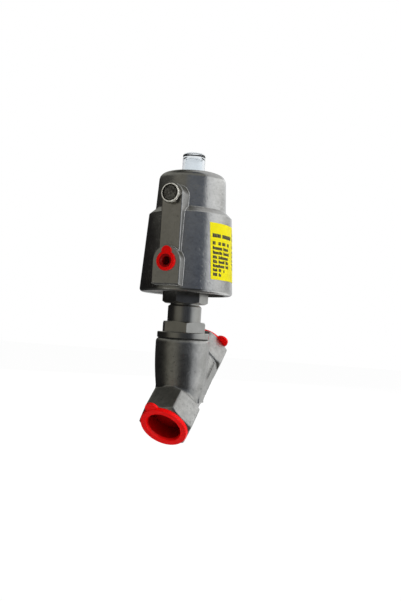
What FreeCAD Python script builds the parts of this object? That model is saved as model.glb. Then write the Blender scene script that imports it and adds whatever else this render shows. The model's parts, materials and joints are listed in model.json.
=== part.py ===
import FreeCAD, Part
import Sketcher
import math
import os
import re

# Angle seat valve with a single-acting piston actuator, normally closed, G1 pipe threads.
# Lengths are millimetres and angles are degrees. Heights are counted along the stem from the
# point where the stem's axis crosses the pipe's axis. The part's origin is the middle of the
# inlet port's mouth, +Z runs up the stem and the inlet opens towards -X and down.

SIZES = {
    # small edges and clearances that many pieces share
    "edge": 0.5,
    "lead": 1,
    "overrun": 1,
    "bore_clearance": 0.05,
    "ring_squeeze": 0.05,
    "ring_play": 0.02,
    "ring_groove_half": 1.3,
    "ground_share": 0.6,
    "hex_end_depth": 1.9,
    # valve body: pipe run
    "pipe_angle": 50,
    "inlet_length": 35.4,
    "outlet_length": 64.2,
    "port_hex": 41,
    "inlet_hex_length": 23.9,
    "outlet_hex_length": 22,
    "tube_inset": 1.5,
    "pipe_bore": 12.5,
    "port_step": 2.7,
    "port_depth": 17,
    "port_chamfer": 1.9,
    # valve body: raised flow arrow on its side
    "arrow_rise": 1.8,
    "arrow_width": 8.4,
    "arrow_head_width": 14,
    "arrow_tail": 39,
    "arrow_neck": 1,
    "arrow_tip": -8,
    # valve body: neck that takes the bonnet
    "body_top": 47.8,
    "neck_wall": 5.9,
    "neck_lip_inset": 1,
    "neck_lip_drop": 2,
    "neck_band": 7.8,
    "neck_bulge": 225,
    "neck_foot_inset": 2.3,
    "neck_foot_height": 7.6,
    "neck_foot_round": 21,
    "neck_foot_flat": 6,
    "neck_bottom": -16,
    "thread_depth": 1,
    "neck_thread_length": 17.8,
    "disc_clearance": 1.6,
    # valve body: seat
    "seat_height": -3,
    "seat_web": 3,
    "seat_bore": 11.5,
    "seat_lip_width": 1.5,
    "seat_lip_rise": 1.2,
    # transit plugs of the pipe ports
    "plug_flange_inset": 0.2,
    "plug_flange_thickness": 2.6,
    "plug_clearance": 0.15,
    "plug_wall": 1.1,
    "plug_depth": 13,
    "plug_floor": 1.5,
    "plug_tab_radius": 5.75,
    "plug_tab_inset": 0.1,
    "plug_tab_thickness": 2,
    "inlet_tab_angle": 16.5,
    "outlet_tab_angle": -112,
    # bonnet
    "gasket_thickness": 0.8,
    "gasket_play": 0.3,
    "gasket_inset": 0.6,
    "flange_inset": 0.8,
    "flange_thickness": 4.9,
    "flange_chamfer": 0.6,
    "thread_clearance": 0.1,
    "bonnet_thread_length": 14.6,
    "bonnet_hex": 34,
    "bonnet_hex_height": 9,
    "bonnet_neck_wall": 3.3,
    "bonnet_neck_height": 14.1,
    "bonnet_neck_chamfer": 1.4,
    "collar_width": 1.4,
    "collar_height": 1.2,
    "spigot_wall": 2.8,
    "spigot_height": 21.7,
    "packing_width": 3.2,
    "bonnet_floor": 6,
    "wiper_width": 2.5,
    "wiper_depth": 2.5,
    "weep_radius": 1.1,
    "weep_drop": 3.2,
    "weep_angle": -70,
    # stem packing, from the bottom up
    "packing_clearance": 0.05,
    "guide_height": 6,
    "support_height": 3,
    "ring_height": 3,
    "ring_count": 4,
    "ring_vee": 1.2,
    "header_height": 3,
    "washer_height": 1.5,
    "packing_spring_length": 20,
    "packing_wire": 0.8,
    "packing_coils": 6,
    "gland_height": 10,
    "stem_ring_section": 0.78,
    "gland_ring_height": 1.2,
    "gland_groove_depth": 0.7,
    "gland_ring_width": 2.55,
    "gland_ring_gap": 4.2,
    # lock nut under the actuator
    "lock_nut_hex": 34,
    "lock_nut_height": 12.2,
    # actuator base and its rings
    "running_clearance": 0.08,
    "base_thickness": 7,
    "base_fit": 0.15,
    "base_ring_section": 1.05,
    "base_ring_drop": 3,
    "base_recess_depth": 1.6,
    "base_recess_width": 8,
    "base_rim_width": 4.5,
    "spigot_ring_section": 0.9,
    "spigot_ring_drop": 3.4,
    "circlip_thickness": 1.3,
    "circlip_groove_depth": 0.7,
    "circlip_rise": 3,
    "circlip_gap": 6,
    "retainer_thickness": 1.7,
    "retainer_groove_depth": 1.2,
    "retainer_width": 3.6,
    "retainer_gap": 16,
    "retainer_lug": 3,
    "retainer_eye": 1.1,
    # actuator housing
    "housing_skirt": 3.8,
    "foot_wall": 6,
    "housing_foot_round": 2.6,
    "drum_wall": 3.9,
    "shoulder_thickness": 2.5,
    "cap_wall": 4.5,
    "step_height": 4.8,
    "cap_top_wall": 3.1,
    "housing_round": 6,
    "cap_height": 31.5,
    "base_step": 2,
    "piston_bore": 31.5,
    "cylinder_length": 52.5,
    "spring_bore_clearance": 3.6,
    "roof_thickness": 4.7,
    # air rib, port pad and vent
    "draft_angle": 4,
    "rib_reach": 4.6,
    "rib_width": 18,
    "pad_rise": 4,
    "pad_width": 24.3,
    "pad_foot_rise": 1.8,
    "pad_bevel_height": 3.9,
    "pad_bevel_depth": 4.8,
    "face_edge_round": 0.9,
    "air_port_drop": 2.8,
    "air_port_bore": 5.9,
    "air_port_depth": 9,
    "air_hole": 2.5,
    "vent_rise": 7.8,
    "vent_bore": 4.85,
    # silencer
    "silencer_hex": 15,
    "silencer_hex_height": 2.9,
    "silencer_lip": 7.85,
    "silencer_lip_height": 2.2,
    "silencer_rim": 1.85,
    "silencer_shank_length": 8,
    "silencer_bore": 3,
    "element_thickness": 3,
    "element_drop": 0.7,
    # transit plug of the air port
    "air_plug_flange_width": 2.3,
    "air_plug_thickness": 1.6,
    "air_plug_bore": 3.3,
    "air_plug_clearance": 0.1,
    "air_plug_depth": 7,
    "air_plug_floor": 1,
    "air_plug_tab": 4.1,
    "air_plug_tab_inset": 0.1,
    "air_plug_tab_thickness": 1.2,
    # sight dome
    "dome_radius": 9.7,
    "dome_wall": 2.1,
    "dome_headroom": 3.5,
    "dome_roof": 3.2,
    "dome_round": 1.8,
    "dome_step": 1,
    "dome_play": 0.1,
    "dome_ring_section": 0.72,
    "dome_ring_depth": 1.6,
    # label
    "label_rise": 11.6,
    "label_height": 46.6,
    "label_thickness": 0.2,
    "label_angle": -128.5,
    "label_sweep_angle": 85,
    # stem and valve disc
    "stroke": 13,
    "stem_radius": 5,
    "stem_step": 1,
    "stem_foot": 8.6,
    "stem_end": 2.1,
    "disc_shoulder": 5,
    "seal_overlap": 0.6,
    "seal_thickness": 3.5,
    "holder_rim": 0.8,
    "holder_lip": 1.2,
    "holder_plate": 3.3,
    "holder_slope": 2,
    "holder_hub": 9,
    "holder_height": 13.8,
    "disc_washer_inset": 2.5,
    "disc_washer_thickness": 2,
    "disc_nut_hex": 13,
    "disc_nut_height": 4,
    # piston
    "piston_gap": 2,
    "piston_step": 0.5,
    "spring_hub_clearance": 0.5,
    "piston_hub_height": 20,
    "piston_clearance": 0.3,
    "piston_rim_foot": 11,
    "piston_rim_height": 10,
    "piston_rim_width": 4,
    "piston_web": 5.5,
    "seal_groove_foot": 1.5,
    "seal_groove_height": 3.5,
    "seal_groove_depth": 3,
    "band_groove_foot": 6.5,
    "band_groove_height": 2.5,
    "band_groove_depth": 1.5,
    "seal_fit": 0.05,
    "piston_ring_section": 0.9,
    "piston_ring_rise": 3,
    "piston_washer_inset": 2,
    "piston_washer_thickness": 1.5,
    "piston_nut_inset": 5,
    "piston_nut_height": 6,
    # springs
    "spring_rim_clearance": 2.2,
    "outer_wire": 2,
    "outer_coils": 7,
    "spring_gap": 2.7,
    "inner_wire": 1.4,
    "inner_coils": 9,
    # position indicator
    "indicator_rod": 2.5,
    "indicator_clearance": 1,
    "indicator_height": 11,
    "indicator_drop": 1.1,
    "indicator_chamfer": 1.5,
}

doc = FreeCAD.newDocument("AngleSeatValve")
sheet = doc.addObject("Spreadsheet::Sheet", "Sizes")
for row, (size_name, size) in enumerate(SIZES.items(), start=1):
    sheet.set(f"A{row}", size_name)
    sheet.set(f"B{row}", str(size))
    sheet.setAlias(f"B{row}", size_name)
doc.recompute()

pieces = []


def formula(text):
    """Point every size that a formula names at the spreadsheet."""
    return re.sub(r"[a-z][a-z_]+", lambda word: f"Sizes.{word[0]}" if word[0] in SIZES else word[0], text)


def value(text):
    """The number that a formula gives now."""
    return float(sheet.evalExpression(formula(text)))


def bind(item, **formulas):
    """Tie properties to formulas, a double underscore standing for the dot of a sub-property."""
    for prop, text in formulas.items():
        item.setExpression(prop.replace("__", "."), formula(text))


def place(item, x="0", y="0", z="0"):
    bind(item, Placement__Base__x=x, Placement__Base__y=y, Placement__Base__z=z)


def tilt(item, axis, angle):
    """Turn an item about one of its own axes by a formula's angle."""
    item.Placement.Rotation = FreeCAD.Rotation(axis, 10)
    item.setExpression("Placement.Rotation.Angle", formula(angle))


def plane_of(body, role):
    return next(item for item in body.Origin.OriginFeatures if item.Role == role)


def end_at(edge, point):
    """1 when a sketch's edge starts at the point, 2 when it ends there."""
    return 1 if edge.StartPoint.distanceToPoint(point) < edge.EndPoint.distanceToPoint(point) else 2


def arc_through(start, finish, radius, side):
    """An arc that bulges to the left (1) or right (-1) of the way from start to finish.
    A sketch takes its arcs anticlockwise."""
    chord = finish - start
    rise = radius - math.sqrt(radius**2 - (chord.Length / 2) ** 2)
    across = FreeCAD.Vector(-chord.y, chord.x, 0).normalize()
    middle = (start + finish) / 2 + across * rise * side
    if side == 1:
        return Part.Arc(finish, middle, start)
    return Part.Arc(start, middle, finish)


def closed_sketch(body, role, outline):
    """A sketch on an origin plane. Each corner is (across, up), or (across, up, radius, side)
    where an arc runs on to the next corner, bulging to its left (1) or right (-1)."""
    sketch = body.newObject("Sketcher::SketchObject", body.Name + "_outline")
    sketch.AttachmentSupport = (plane_of(body, role), [""])
    sketch.MapMode = "FlatFace"
    corners = [FreeCAD.Vector(value(step[0]), value(step[1]), 0) for step in outline]
    nexts = corners[1:] + corners[:1]
    for step, start, finish in zip(outline, corners, nexts):
        if len(step) == 2:
            sketch.addGeometry(Part.LineSegment(start, finish), False)
        else:
            sketch.addGeometry(arc_through(start, finish, value(step[2]), step[3]), False)
    edges = sketch.Geometry
    joints = []
    dimensions = []
    for number, (step, corner) in enumerate(zip(outline, corners)):
        before = (number - 1) % len(edges)
        own = end_at(edges[number], corner)
        shared = end_at(edges[before], corner)
        joints.append(Sketcher.Constraint("Coincident", before, shared, number, own))
        dimensions.append((Sketcher.Constraint("DistanceX", number, own, corner.x), step[0]))
        dimensions.append((Sketcher.Constraint("DistanceY", number, own, corner.y), step[1]))
        if len(step) > 2:
            dimensions.append((Sketcher.Constraint("Radius", number, value(step[2])), step[2]))
    sketch.addConstraint(joints + [constraint for constraint, text in dimensions])
    for index, (constraint, text) in enumerate(dimensions, start=len(joints)):
        sketch.setExpression(f"Constraints[{index}]", formula(text))
    return sketch


def turned(name, outline, sweep="360"):
    """A body turned about its Z axis from an outline of (radius, height) corners."""
    body = doc.addObject("PartDesign::Body", name)
    profile = closed_sketch(body, "XZ_Plane", outline)
    turn = body.newObject("PartDesign::Revolution", name + "_turn")
    turn.Profile = profile
    turn.ReferenceAxis = (profile, ["V_Axis"])
    bind(turn, Angle=sweep)
    return body


def ring(name, outer, inner, bottom, height):
    """A plain washer or bush about the Z axis."""
    top = f"{bottom} + {height}"
    return turned(name, [(inner, bottom), (outer, bottom), (outer, top), (inner, top)])


def seal_ring(name, middle, section, height):
    """A seal ring of round section on the stem's axis."""
    item = doc.addObject("Part::Torus", name + "_torus")
    bind(item, Radius1=middle, Radius2=section)
    publish(item, name, height)


def rod(name, radius, bottom, height):
    item = doc.addObject("Part::Cylinder", name)
    bind(item, Radius=radius, Height=height)
    place(item, z=bottom)
    return item


def block(name, corner, sides):
    item = doc.addObject("Part::Box", name)
    bind(item, Length=sides[0], Width=sides[1], Height=sides[2])
    place(item, *corner)
    return item


def fuse(name, *items):
    result = doc.addObject("Part::MultiFuse", name)
    result.Shapes = list(items)
    return result


def common(name, *items):
    result = doc.addObject("Part::MultiCommon", name)
    result.Shapes = list(items)
    return result


def cut(name, base, *tools):
    result = doc.addObject("Part::Cut", name)
    result.Base = base
    result.Tool = tools[0] if len(tools) == 1 else fuse(name + "_space", *tools)
    return result


def hexagon(name, across, bottom, height, corner_on_x, low_chamfer=True, high_chamfer=True):
    """A hexagon bar about Z whose corners a wide sphere takes off at the chosen ends."""
    body = doc.addObject("PartDesign::Body", name + "_bar")
    flat = f"({across}) / 2"
    corner = f"({across}) / 2 / cos(30)"
    half = f"({across}) / 2 * tan(30)"
    points = [(flat, half), ("0", corner), (f"-{flat}", half)]
    points += [(f"-{flat}", f"-{half}"), ("0", f"-{corner}"), (flat, f"-{half}")]
    if corner_on_x:
        points = [(up, across_x) for across_x, up in reversed(points)]
    profile = closed_sketch(body, "XY_Plane", points)
    pad = body.newObject("PartDesign::Pad", name + "_pad")
    pad.Profile = profile
    bind(pad, Length=height)
    place(body, z=bottom)
    ends = []
    if low_chamfer:
        ends.append(end_sphere(name + "_low_end", flat, f"{bottom} + {flat} * hex_end_depth"))
    if high_chamfer:
        ends.append(end_sphere(name + "_high_end", flat, f"{bottom} + {height} - {flat} * hex_end_depth"))
    return common(name, body, *ends)


def end_sphere(name, flat, middle):
    """A sphere that meets a hexagon bar's end face in the circle between its flats."""
    item = doc.addObject("Part::Sphere", name)
    bind(item, Radius=f"{flat} * sqrt(1 + hex_end_depth ^ 2)")
    place(item, z=middle)
    return item


def coil(name, middle, wire, bottom, length, coils):
    """A compression spring whose end coils are ground flat."""
    line = doc.addObject("Part::Helix", name + "_line")
    rise = f"({length} - 2 * ground_share * {wire})"
    start = f"{bottom} + ground_share * {wire}"
    bind(line, Radius=middle, Height=rise, Pitch=f"{rise} / {coils}")
    place(line, z=start)
    section = doc.addObject("Part::Circle", name + "_wire")
    bind(section, Radius=wire)
    section.Placement.Rotation = FreeCAD.Rotation(FreeCAD.Vector(1, 0, 0), 90)
    place(section, x=middle, z=start)
    sweep = doc.addObject("Part::Sweep", name + "_sweep")
    sweep.Sections = [section]
    sweep.Spine = (line, ["Edge1"])
    sweep.Solid = True
    sweep.Frenet = True
    space = ring(name + "_ends", f"{middle} + 2 * {wire}", f"{middle} - 2 * {wire}", bottom, length)
    return common(name, sweep, space)


def publish(item, name, height="0"):
    """Name a finished piece and set it on the stem's axis, at a height over the axes' crossing."""
    item.Label = name
    place(item, x="inlet_length * sin(pipe_angle)", z=f"inlet_length * cos(pipe_angle) + {height}")
    pieces.append(item)


# Radii and heights that several pieces share, as formulas on the sizes above.
TUBE_RADIUS = "(port_hex / 2 - tube_inset)"
ARROW_FACE = f"({TUBE_RADIUS} + arrow_rise)"
PORT_BORE = "(pipe_bore + port_step)"
PLUG_FLANGE = "(port_hex / 2 - plug_flange_inset)"
PLUG_TAB_OFFSET = f"({PLUG_FLANGE} - plug_tab_inset)"
SEAL_RADIUS = "(seat_bore + seat_lip_width + seal_overlap)"
DISC_WASHER_RADIUS = "(seat_bore - disc_washer_inset)"
HOLDER_RADIUS = f"({SEAL_RADIUS} + holder_rim)"
CHAMBER_BORE = f"({HOLDER_RADIUS} + disc_clearance)"
NECK_THREAD = f"({CHAMBER_BORE} + thread_depth)"
NECK_THREAD_END = "(body_top - neck_thread_length)"
NECK_RADIUS = f"({NECK_THREAD} + neck_wall)"
NECK_LIP = f"({NECK_RADIUS} - neck_lip_inset)"
NECK_SHOULDER = "(body_top - neck_band)"
NECK_FOOT = f"({NECK_RADIUS} - neck_foot_inset)"
GASKET_RADIUS = f"({NECK_LIP} - gasket_inset)"
FLANGE_RADIUS = f"({NECK_RADIUS} - flange_inset)"
STEM_THREAD = "(stem_radius - stem_step)"
PISTON_THREAD = "(stem_radius - piston_step)"
WIPER_RADIUS = "(stem_radius + wiper_width)"
PACKING_BORE = "(stem_radius + packing_width)"
GLAND_GROOVE = f"({PACKING_BORE} + gland_groove_depth)"
SPIGOT_RADIUS = f"({PACKING_BORE} + spigot_wall)"
COLLAR_RADIUS = f"({SPIGOT_RADIUS} + collar_width)"
BONNET_NECK = f"({SPIGOT_RADIUS} + bonnet_neck_wall)"
CIRCLIP_RADIUS = f"({SPIGOT_RADIUS} + circlip_rise)"
PISTON_RADIUS = "(piston_bore - piston_clearance)"
PISTON_RIM_INNER = f"({PISTON_RADIUS} - seal_groove_depth - piston_rim_width)"
OUTER_SPRING_RADIUS = f"({PISTON_RIM_INNER} - spring_rim_clearance - outer_wire)"
INNER_SPRING_RADIUS = f"({OUTER_SPRING_RADIUS} - outer_wire - spring_gap - inner_wire)"
PISTON_HUB = f"({INNER_SPRING_RADIUS} - inner_wire - spring_hub_clearance)"
PISTON_WASHER_RADIUS = f"({PISTON_HUB} - piston_washer_inset)"
PISTON_NUT_HEX = f"(2 * ({PISTON_HUB} - piston_nut_inset))"
SPRING_BORE = f"({OUTER_SPRING_RADIUS} + outer_wire + spring_bore_clearance)"
BASE_BORE = "(piston_bore + base_step)"
BASE_RECESS_OUTER = f"({BASE_BORE} - base_rim_width)"
BASE_RECESS_INNER = f"({BASE_RECESS_OUTER} - base_recess_width)"
HOUSING_FOOT = f"({BASE_BORE} + foot_wall)"
LOWER_TOP_RADIUS = "(piston_bore + drum_wall)"
UPPER_FOOT_RADIUS = f"({SPRING_BORE} + cap_wall)"
UPPER_TOP_RADIUS = f"({SPRING_BORE} + cap_top_wall)"
RIB_FACE = f"({LOWER_TOP_RADIUS} + rib_reach)"
PAD_FACE = f"({RIB_FACE} + pad_rise)"
PAD_BEVEL_FOOT = f"({PAD_FACE} - pad_bevel_depth)"
SILENCER_SHANK = "(vent_bore - bore_clearance)"
SILENCER_MOUTH = "(silencer_lip - silencer_rim)"
AIR_PLUG_SLEEVE = "(air_port_bore - air_plug_clearance)"
AIR_PLUG_FLANGE = f"({AIR_PLUG_SLEEVE} + air_plug_flange_width)"
AIR_PLUG_TAB_RISE = f"({AIR_PLUG_FLANGE} - air_plug_tab_inset)"
DOME_BORE = "(dome_radius - dome_wall)"
DOME_SHANK = "(dome_radius - dome_step)"
DOME_HOLE = f"({DOME_SHANK} + dome_play)"
DOME_RING_SEAT = f"({DOME_SHANK} + 2 * dome_ring_section + 3 * ring_play)"
INDICATOR_RADIUS = f"({DOME_BORE} - indicator_clearance)"

FLANGE_BOTTOM = "body_top + gasket_thickness"
HEX_BOTTOM = f"{FLANGE_BOTTOM} + flange_thickness"
NECK_BOTTOM = f"{HEX_BOTTOM} + bonnet_hex_height"
COLLAR_BOTTOM = f"{NECK_BOTTOM} + bonnet_neck_height"
NUT_BOTTOM = f"{COLLAR_BOTTOM} + collar_height"
BASE_BOTTOM = f"{NUT_BOTTOM} + lock_nut_height"
BASE_TOP = f"{BASE_BOTTOM} + base_thickness"
RETAINER_BOTTOM = f"{BASE_BOTTOM} - retainer_thickness"
SPIGOT_TOP = f"{NUT_BOTTOM} + spigot_height"
BONNET_BOTTOM = f"{FLANGE_BOTTOM} - bonnet_thread_length"
PACKING_FLOOR = f"{BONNET_BOTTOM} + bonnet_floor"
STEM_SEAT = f"{SPIGOT_TOP} + piston_gap"
RIM_BOTTOM = f"{STEM_SEAT} + piston_rim_foot"
SPRING_SEAT = f"{RIM_BOTTOM} + piston_web"
HUB_TOP = f"{STEM_SEAT} + piston_hub_height"
PISTON_NUT_TOP = f"{HUB_TOP} + piston_washer_thickness + piston_nut_height"
STEM_TOP = f"{PISTON_NUT_TOP} + stem_end"
SEAL_BOTTOM = "seat_height + seat_lip_rise"
DISC_SHOULDER = f"{SEAL_BOTTOM} + disc_shoulder"
HOUSING_BOTTOM = f"({BASE_BOTTOM} - housing_skirt)"
PISTON_BORE_TOP = f"({BASE_TOP} + cylinder_length)"
LOWER_TOP = f"({PISTON_BORE_TOP} + shoulder_thickness)"
UPPER_FOOT = f"({LOWER_TOP} + step_height)"
HOUSING_TOP = f"({UPPER_FOOT} + cap_height)"
ROOF = f"{HOUSING_TOP} - roof_thickness"
DOME_FOOT = f"{HOUSING_TOP} - dome_ring_depth + 2 * dome_ring_section"
PAD_FOOT = f"({HOUSING_BOTTOM} + pad_foot_rise)"
PAD_BEVEL_TOP = f"({PAD_FOOT} + pad_bevel_height)"
AIR_PORT_HEIGHT = f"({RIM_BOTTOM} - air_port_drop)"
VENT_HEIGHT = f"({UPPER_FOOT} + vent_rise)"
LABEL_LOW = f"({HOUSING_BOTTOM} + label_rise)"
LABEL_HIGH = f"({LABEL_LOW} + label_height)"
INDICATOR_TOP = f"({HOUSING_TOP} - indicator_drop)"
DOME_TOP = f"({INDICATOR_TOP} + stroke + dome_headroom + dome_roof)"

# The packing stack, each piece standing on the one below it.
SUPPORT_BOTTOM = f"{PACKING_FLOOR} + guide_height"
RINGS_BOTTOM = f"{SUPPORT_BOTTOM} + support_height"
HEADER_BOTTOM = f"{RINGS_BOTTOM} + ring_count * ring_height"
WASHER_BOTTOM = f"{HEADER_BOTTOM} + header_height"
PACKING_SPRING_BOTTOM = f"{WASHER_BOTTOM} + washer_height"
GLAND_BOTTOM = f"{PACKING_SPRING_BOTTOM} + packing_spring_length"
GLAND_TOP = f"{GLAND_BOTTOM} + gland_height"
PACKING_OUTER = f"({PACKING_BORE} - packing_clearance)"
PACKING_INNER = "(stem_radius + packing_clearance)"
PACKING_MIDDLE = f"(({PACKING_BORE} + stem_radius) / 2)"
GLAND_RING_OUTER = f"({GLAND_GROOVE} - packing_clearance)"
GLAND_RING_BORE = f"({GLAND_RING_OUTER} - gland_ring_width)"


def along_pipe(item, distance, reverse=False):
    """Lay a piece made along Z on the pipe's axis, starting a distance outlet-wards of the crossing."""
    tilt(item, FreeCAD.Vector(0, 1, 0), "pipe_angle + 180" if reverse else "pipe_angle")
    place(item, x=f"({distance}) * sin(pipe_angle)", z=f"({distance}) * cos(pipe_angle)")
    return item


def neck_outer():
    return turned("neck_outer", [
        ("0", "neck_bottom"),
        ("0", "body_top"),
        (NECK_LIP, "body_top"),
        (NECK_RADIUS, "body_top - neck_lip_drop"),
        (NECK_RADIUS, NECK_SHOULDER, "neck_bulge", 1),
        (NECK_FOOT, "neck_foot_height", "neck_foot_round", 1),
        ("neck_foot_flat", "neck_bottom"),
    ])


def flow_arrow():
    """A raised arrow on the -Y side of the pipe run, drawn in the pipe's own plane."""
    body = doc.addObject("PartDesign::Body", "flow_arrow")
    profile = closed_sketch(body, "XZ_Plane", [
        ("arrow_tip", "0"),
        ("arrow_neck", "arrow_head_width / 2"),
        ("arrow_neck", "arrow_width / 2"),
        ("arrow_tail", "arrow_width / 2"),
        ("arrow_tail", "-arrow_width / 2"),
        ("arrow_neck", "-arrow_width / 2"),
        ("arrow_neck", "-arrow_head_width / 2"),
    ])
    pad = body.newObject("PartDesign::Pad", "flow_arrow_pad")
    pad.Profile = profile
    bind(pad, Length=ARROW_FACE)
    tilt(body, FreeCAD.Vector(0, 1, 0), "pipe_angle - 90")
    return body


def port_space(name):
    """The threaded mouth of a pipe port, opening at height 0."""
    return turned(name, [
        ("0", "-port_depth"),
        (PORT_BORE, "-port_depth"),
        (PORT_BORE, "-port_chamfer"),
        (f"{PORT_BORE} + port_chamfer", "0"),
        (f"{PORT_BORE} + port_chamfer", "overrun"),
        ("0", "overrun"),
    ])


def passage(name, above):
    """One half of the pipe bore, ending at the web that carries the seat."""
    reach = "(inlet_length + outlet_length)"
    if above:
        bore = along_pipe(rod(name + "_bore", "pipe_bore", "0", "outlet_length"), "-pipe_bore / 2")
        floor = "seat_height"
    else:
        bore = along_pipe(rod(name + "_bore", "pipe_bore", "0", "inlet_length"), "pipe_bore / 2", True)
        floor = f"seat_height - seat_web - {reach}"
    side = block(name + "_side", (f"-{reach}", f"-{reach}", floor), (f"2 * {reach}", f"2 * {reach}", reach))
    return common(name, bore, side)


def valve_body():
    run = "inlet_length + outlet_length - inlet_hex_length / 2 - outlet_hex_length / 2"
    tube = along_pipe(rod("pipe_tube", TUBE_RADIUS, "0", run), "inlet_hex_length / 2 - inlet_length")
    inlet_hex = hexagon("inlet_hex", "port_hex", "0", "inlet_hex_length", False)
    outlet_hex = hexagon("outlet_hex", "port_hex", "0", "outlet_hex_length", False)
    along_pipe(inlet_hex, "-inlet_length")
    along_pipe(outlet_hex, "outlet_length - outlet_hex_length")
    casting = fuse("casting", neck_outer(), tube, inlet_hex, outlet_hex, flow_arrow())
    chamber = turned("neck_space", [
        ("0", "seat_height"),
        (CHAMBER_BORE, "seat_height"),
        (CHAMBER_BORE, NECK_THREAD_END),
        (NECK_THREAD, f"{NECK_THREAD_END} + lead"),
        (NECK_THREAD, "body_top + overrun"),
        ("0", "body_top + overrun"),
    ])
    inlet_port = along_pipe(port_space("inlet_port_space"), "-inlet_length", True)
    outlet_port = along_pipe(port_space("outlet_port_space"), "outlet_length")
    hollow = cut("hollow_casting", casting, chamber, passage("outlet_passage", True),
                 passage("inlet_passage", False), inlet_port, outlet_port)
    lip_outer = rod("seat_lip", "seat_bore + seat_lip_width", "seat_height - seat_web / 2",
                    "seat_lip_rise + seat_web / 2")
    seat_space = rod("seat_space", "seat_bore", "seat_height - seat_web - overrun",
                     "seat_web + seat_lip_rise + 2 * overrun")
    return cut("valve_body", fuse("seated_casting", hollow, lip_outer), seat_space)


def pipe_plug(name, turn):
    """A hollow push-in plug with a flange and a pull tab, its flange seated at height 0."""
    sleeve = f"{PORT_BORE} - plug_clearance"
    bore = f"{sleeve} - plug_wall"
    cup = turned(name + "_cup", [
        ("0", "-plug_depth"),
        (f"{sleeve} - plug_floor / 2", "-plug_depth"),
        (sleeve, "plug_floor - plug_depth"),
        (sleeve, "0"),
        (PLUG_FLANGE, "0"),
        (PLUG_FLANGE, "plug_flange_thickness / 2"),
        (f"{PLUG_FLANGE} - plug_flange_thickness / 4", "plug_flange_thickness"),
        (f"{bore} + plug_wall", "plug_flange_thickness"),
        (bore, "plug_flange_thickness - 2 * plug_wall"),
        (bore, "plug_floor - plug_depth"),
        ("0", "plug_floor - plug_depth"),
    ])
    tab = rod(name + "_tab", "plug_tab_radius", "0", "plug_tab_thickness")
    place(tab, x=f"{PLUG_TAB_OFFSET} * cos({turn})", y=f"{PLUG_TAB_OFFSET} * sin({turn})")
    mouth = rod(name + "_mouth", f"{bore} + plug_wall", "-plug_wall", "2 * plug_flange_thickness")
    return fuse(name, cup, cut(name + "_grip", tab, mouth))


def mounted_plug(name, turn, at_outlet):
    """A pipe plug in its port. The part's origin is the inlet mouth."""
    plug = pipe_plug(name, turn)
    tilt(plug, FreeCAD.Vector(0, 1, 0), "pipe_angle" if at_outlet else "pipe_angle + 180")
    if at_outlet:
        run = "(inlet_length + outlet_length)"
        place(plug, x=f"{run} * sin(pipe_angle)", z=f"{run} * cos(pipe_angle)")
    plug.Label = name
    pieces.append(plug)


def bonnet():
    thread = f"{NECK_THREAD} - thread_clearance"
    turned_form = turned("bonnet_turned", [
        (WIPER_RADIUS, BONNET_BOTTOM),
        (f"{thread} - lead", BONNET_BOTTOM),
        (thread, f"{BONNET_BOTTOM} + lead"),
        (thread, FLANGE_BOTTOM),
        (FLANGE_RADIUS, FLANGE_BOTTOM),
        (FLANGE_RADIUS, f"{HEX_BOTTOM} - flange_chamfer"),
        (f"{FLANGE_RADIUS} - flange_chamfer", HEX_BOTTOM),
        (BONNET_NECK, HEX_BOTTOM),
        (BONNET_NECK, f"{COLLAR_BOTTOM} - bonnet_neck_chamfer"),
        (f"{BONNET_NECK} - bonnet_neck_chamfer", COLLAR_BOTTOM),
        (COLLAR_RADIUS, COLLAR_BOTTOM),
        (COLLAR_RADIUS, NUT_BOTTOM),
        (SPIGOT_RADIUS, NUT_BOTTOM),
        (SPIGOT_RADIUS, f"{BASE_TOP} + running_clearance"),
        (f"{SPIGOT_RADIUS} - circlip_groove_depth", f"{BASE_TOP} + running_clearance"),
        (f"{SPIGOT_RADIUS} - circlip_groove_depth", f"{BASE_TOP} + circlip_thickness + 2 * running_clearance"),
        (SPIGOT_RADIUS, f"{BASE_TOP} + circlip_thickness + 2 * running_clearance"),
        (SPIGOT_RADIUS, SPIGOT_TOP),
        (PACKING_BORE, SPIGOT_TOP),
        (PACKING_BORE, f"{GLAND_TOP} + gland_ring_height + packing_clearance"),
        (GLAND_GROOVE, f"{GLAND_TOP} + gland_ring_height + packing_clearance"),
        (GLAND_GROOVE, GLAND_TOP),
        (PACKING_BORE, GLAND_TOP),
        (PACKING_BORE, PACKING_FLOOR),
        ("stem_radius + 2 * packing_clearance", PACKING_FLOOR),
        ("stem_radius + 2 * packing_clearance", f"{BONNET_BOTTOM} + wiper_depth"),
        (WIPER_RADIUS, f"{BONNET_BOTTOM} + wiper_depth"),
    ])
    hex_bar = hexagon("bonnet_hex_bar", "bonnet_hex", HEX_BOTTOM, "bonnet_hex_height", False, low_chamfer=False)
    hex_bore = rod("bonnet_hex_bore", f"{BONNET_NECK} - lead", f"{HEX_BOTTOM} - overrun",
                   "bonnet_hex_height + 2 * overrun")
    weep = rod("weep_hole", "weep_radius", "0", f"{BONNET_NECK} + overrun")
    tilt(weep, FreeCAD.Vector(FreeCAD.Rotation(FreeCAD.Vector(0, 0, 1), value("weep_angle") + 90)
                              .multVec(FreeCAD.Vector(1, 0, 0))), "90")
    place(weep, z=f"{COLLAR_BOTTOM} - weep_drop")
    solid = fuse("bonnet_solid", turned_form, cut("bonnet_hex_ring", hex_bar, hex_bore))
    return cut("bonnet", solid, weep)


def vee_ring(name, bottom, vee_below=True, vee_above=True, height="ring_height"):
    """A packing ring whose faces rise to a ridge halfway between stem and bore."""
    top = f"{bottom} + {height}"
    outline = [(PACKING_INNER, bottom), (PACKING_OUTER, bottom), (PACKING_OUTER, top), (PACKING_INNER, top)]
    if vee_above:
        outline.insert(3, (PACKING_MIDDLE, f"{top} + ring_vee"))
    if vee_below:
        outline.insert(1, (PACKING_MIDDLE, f"{bottom} + ring_vee"))
    return turned(name, outline)


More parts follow.
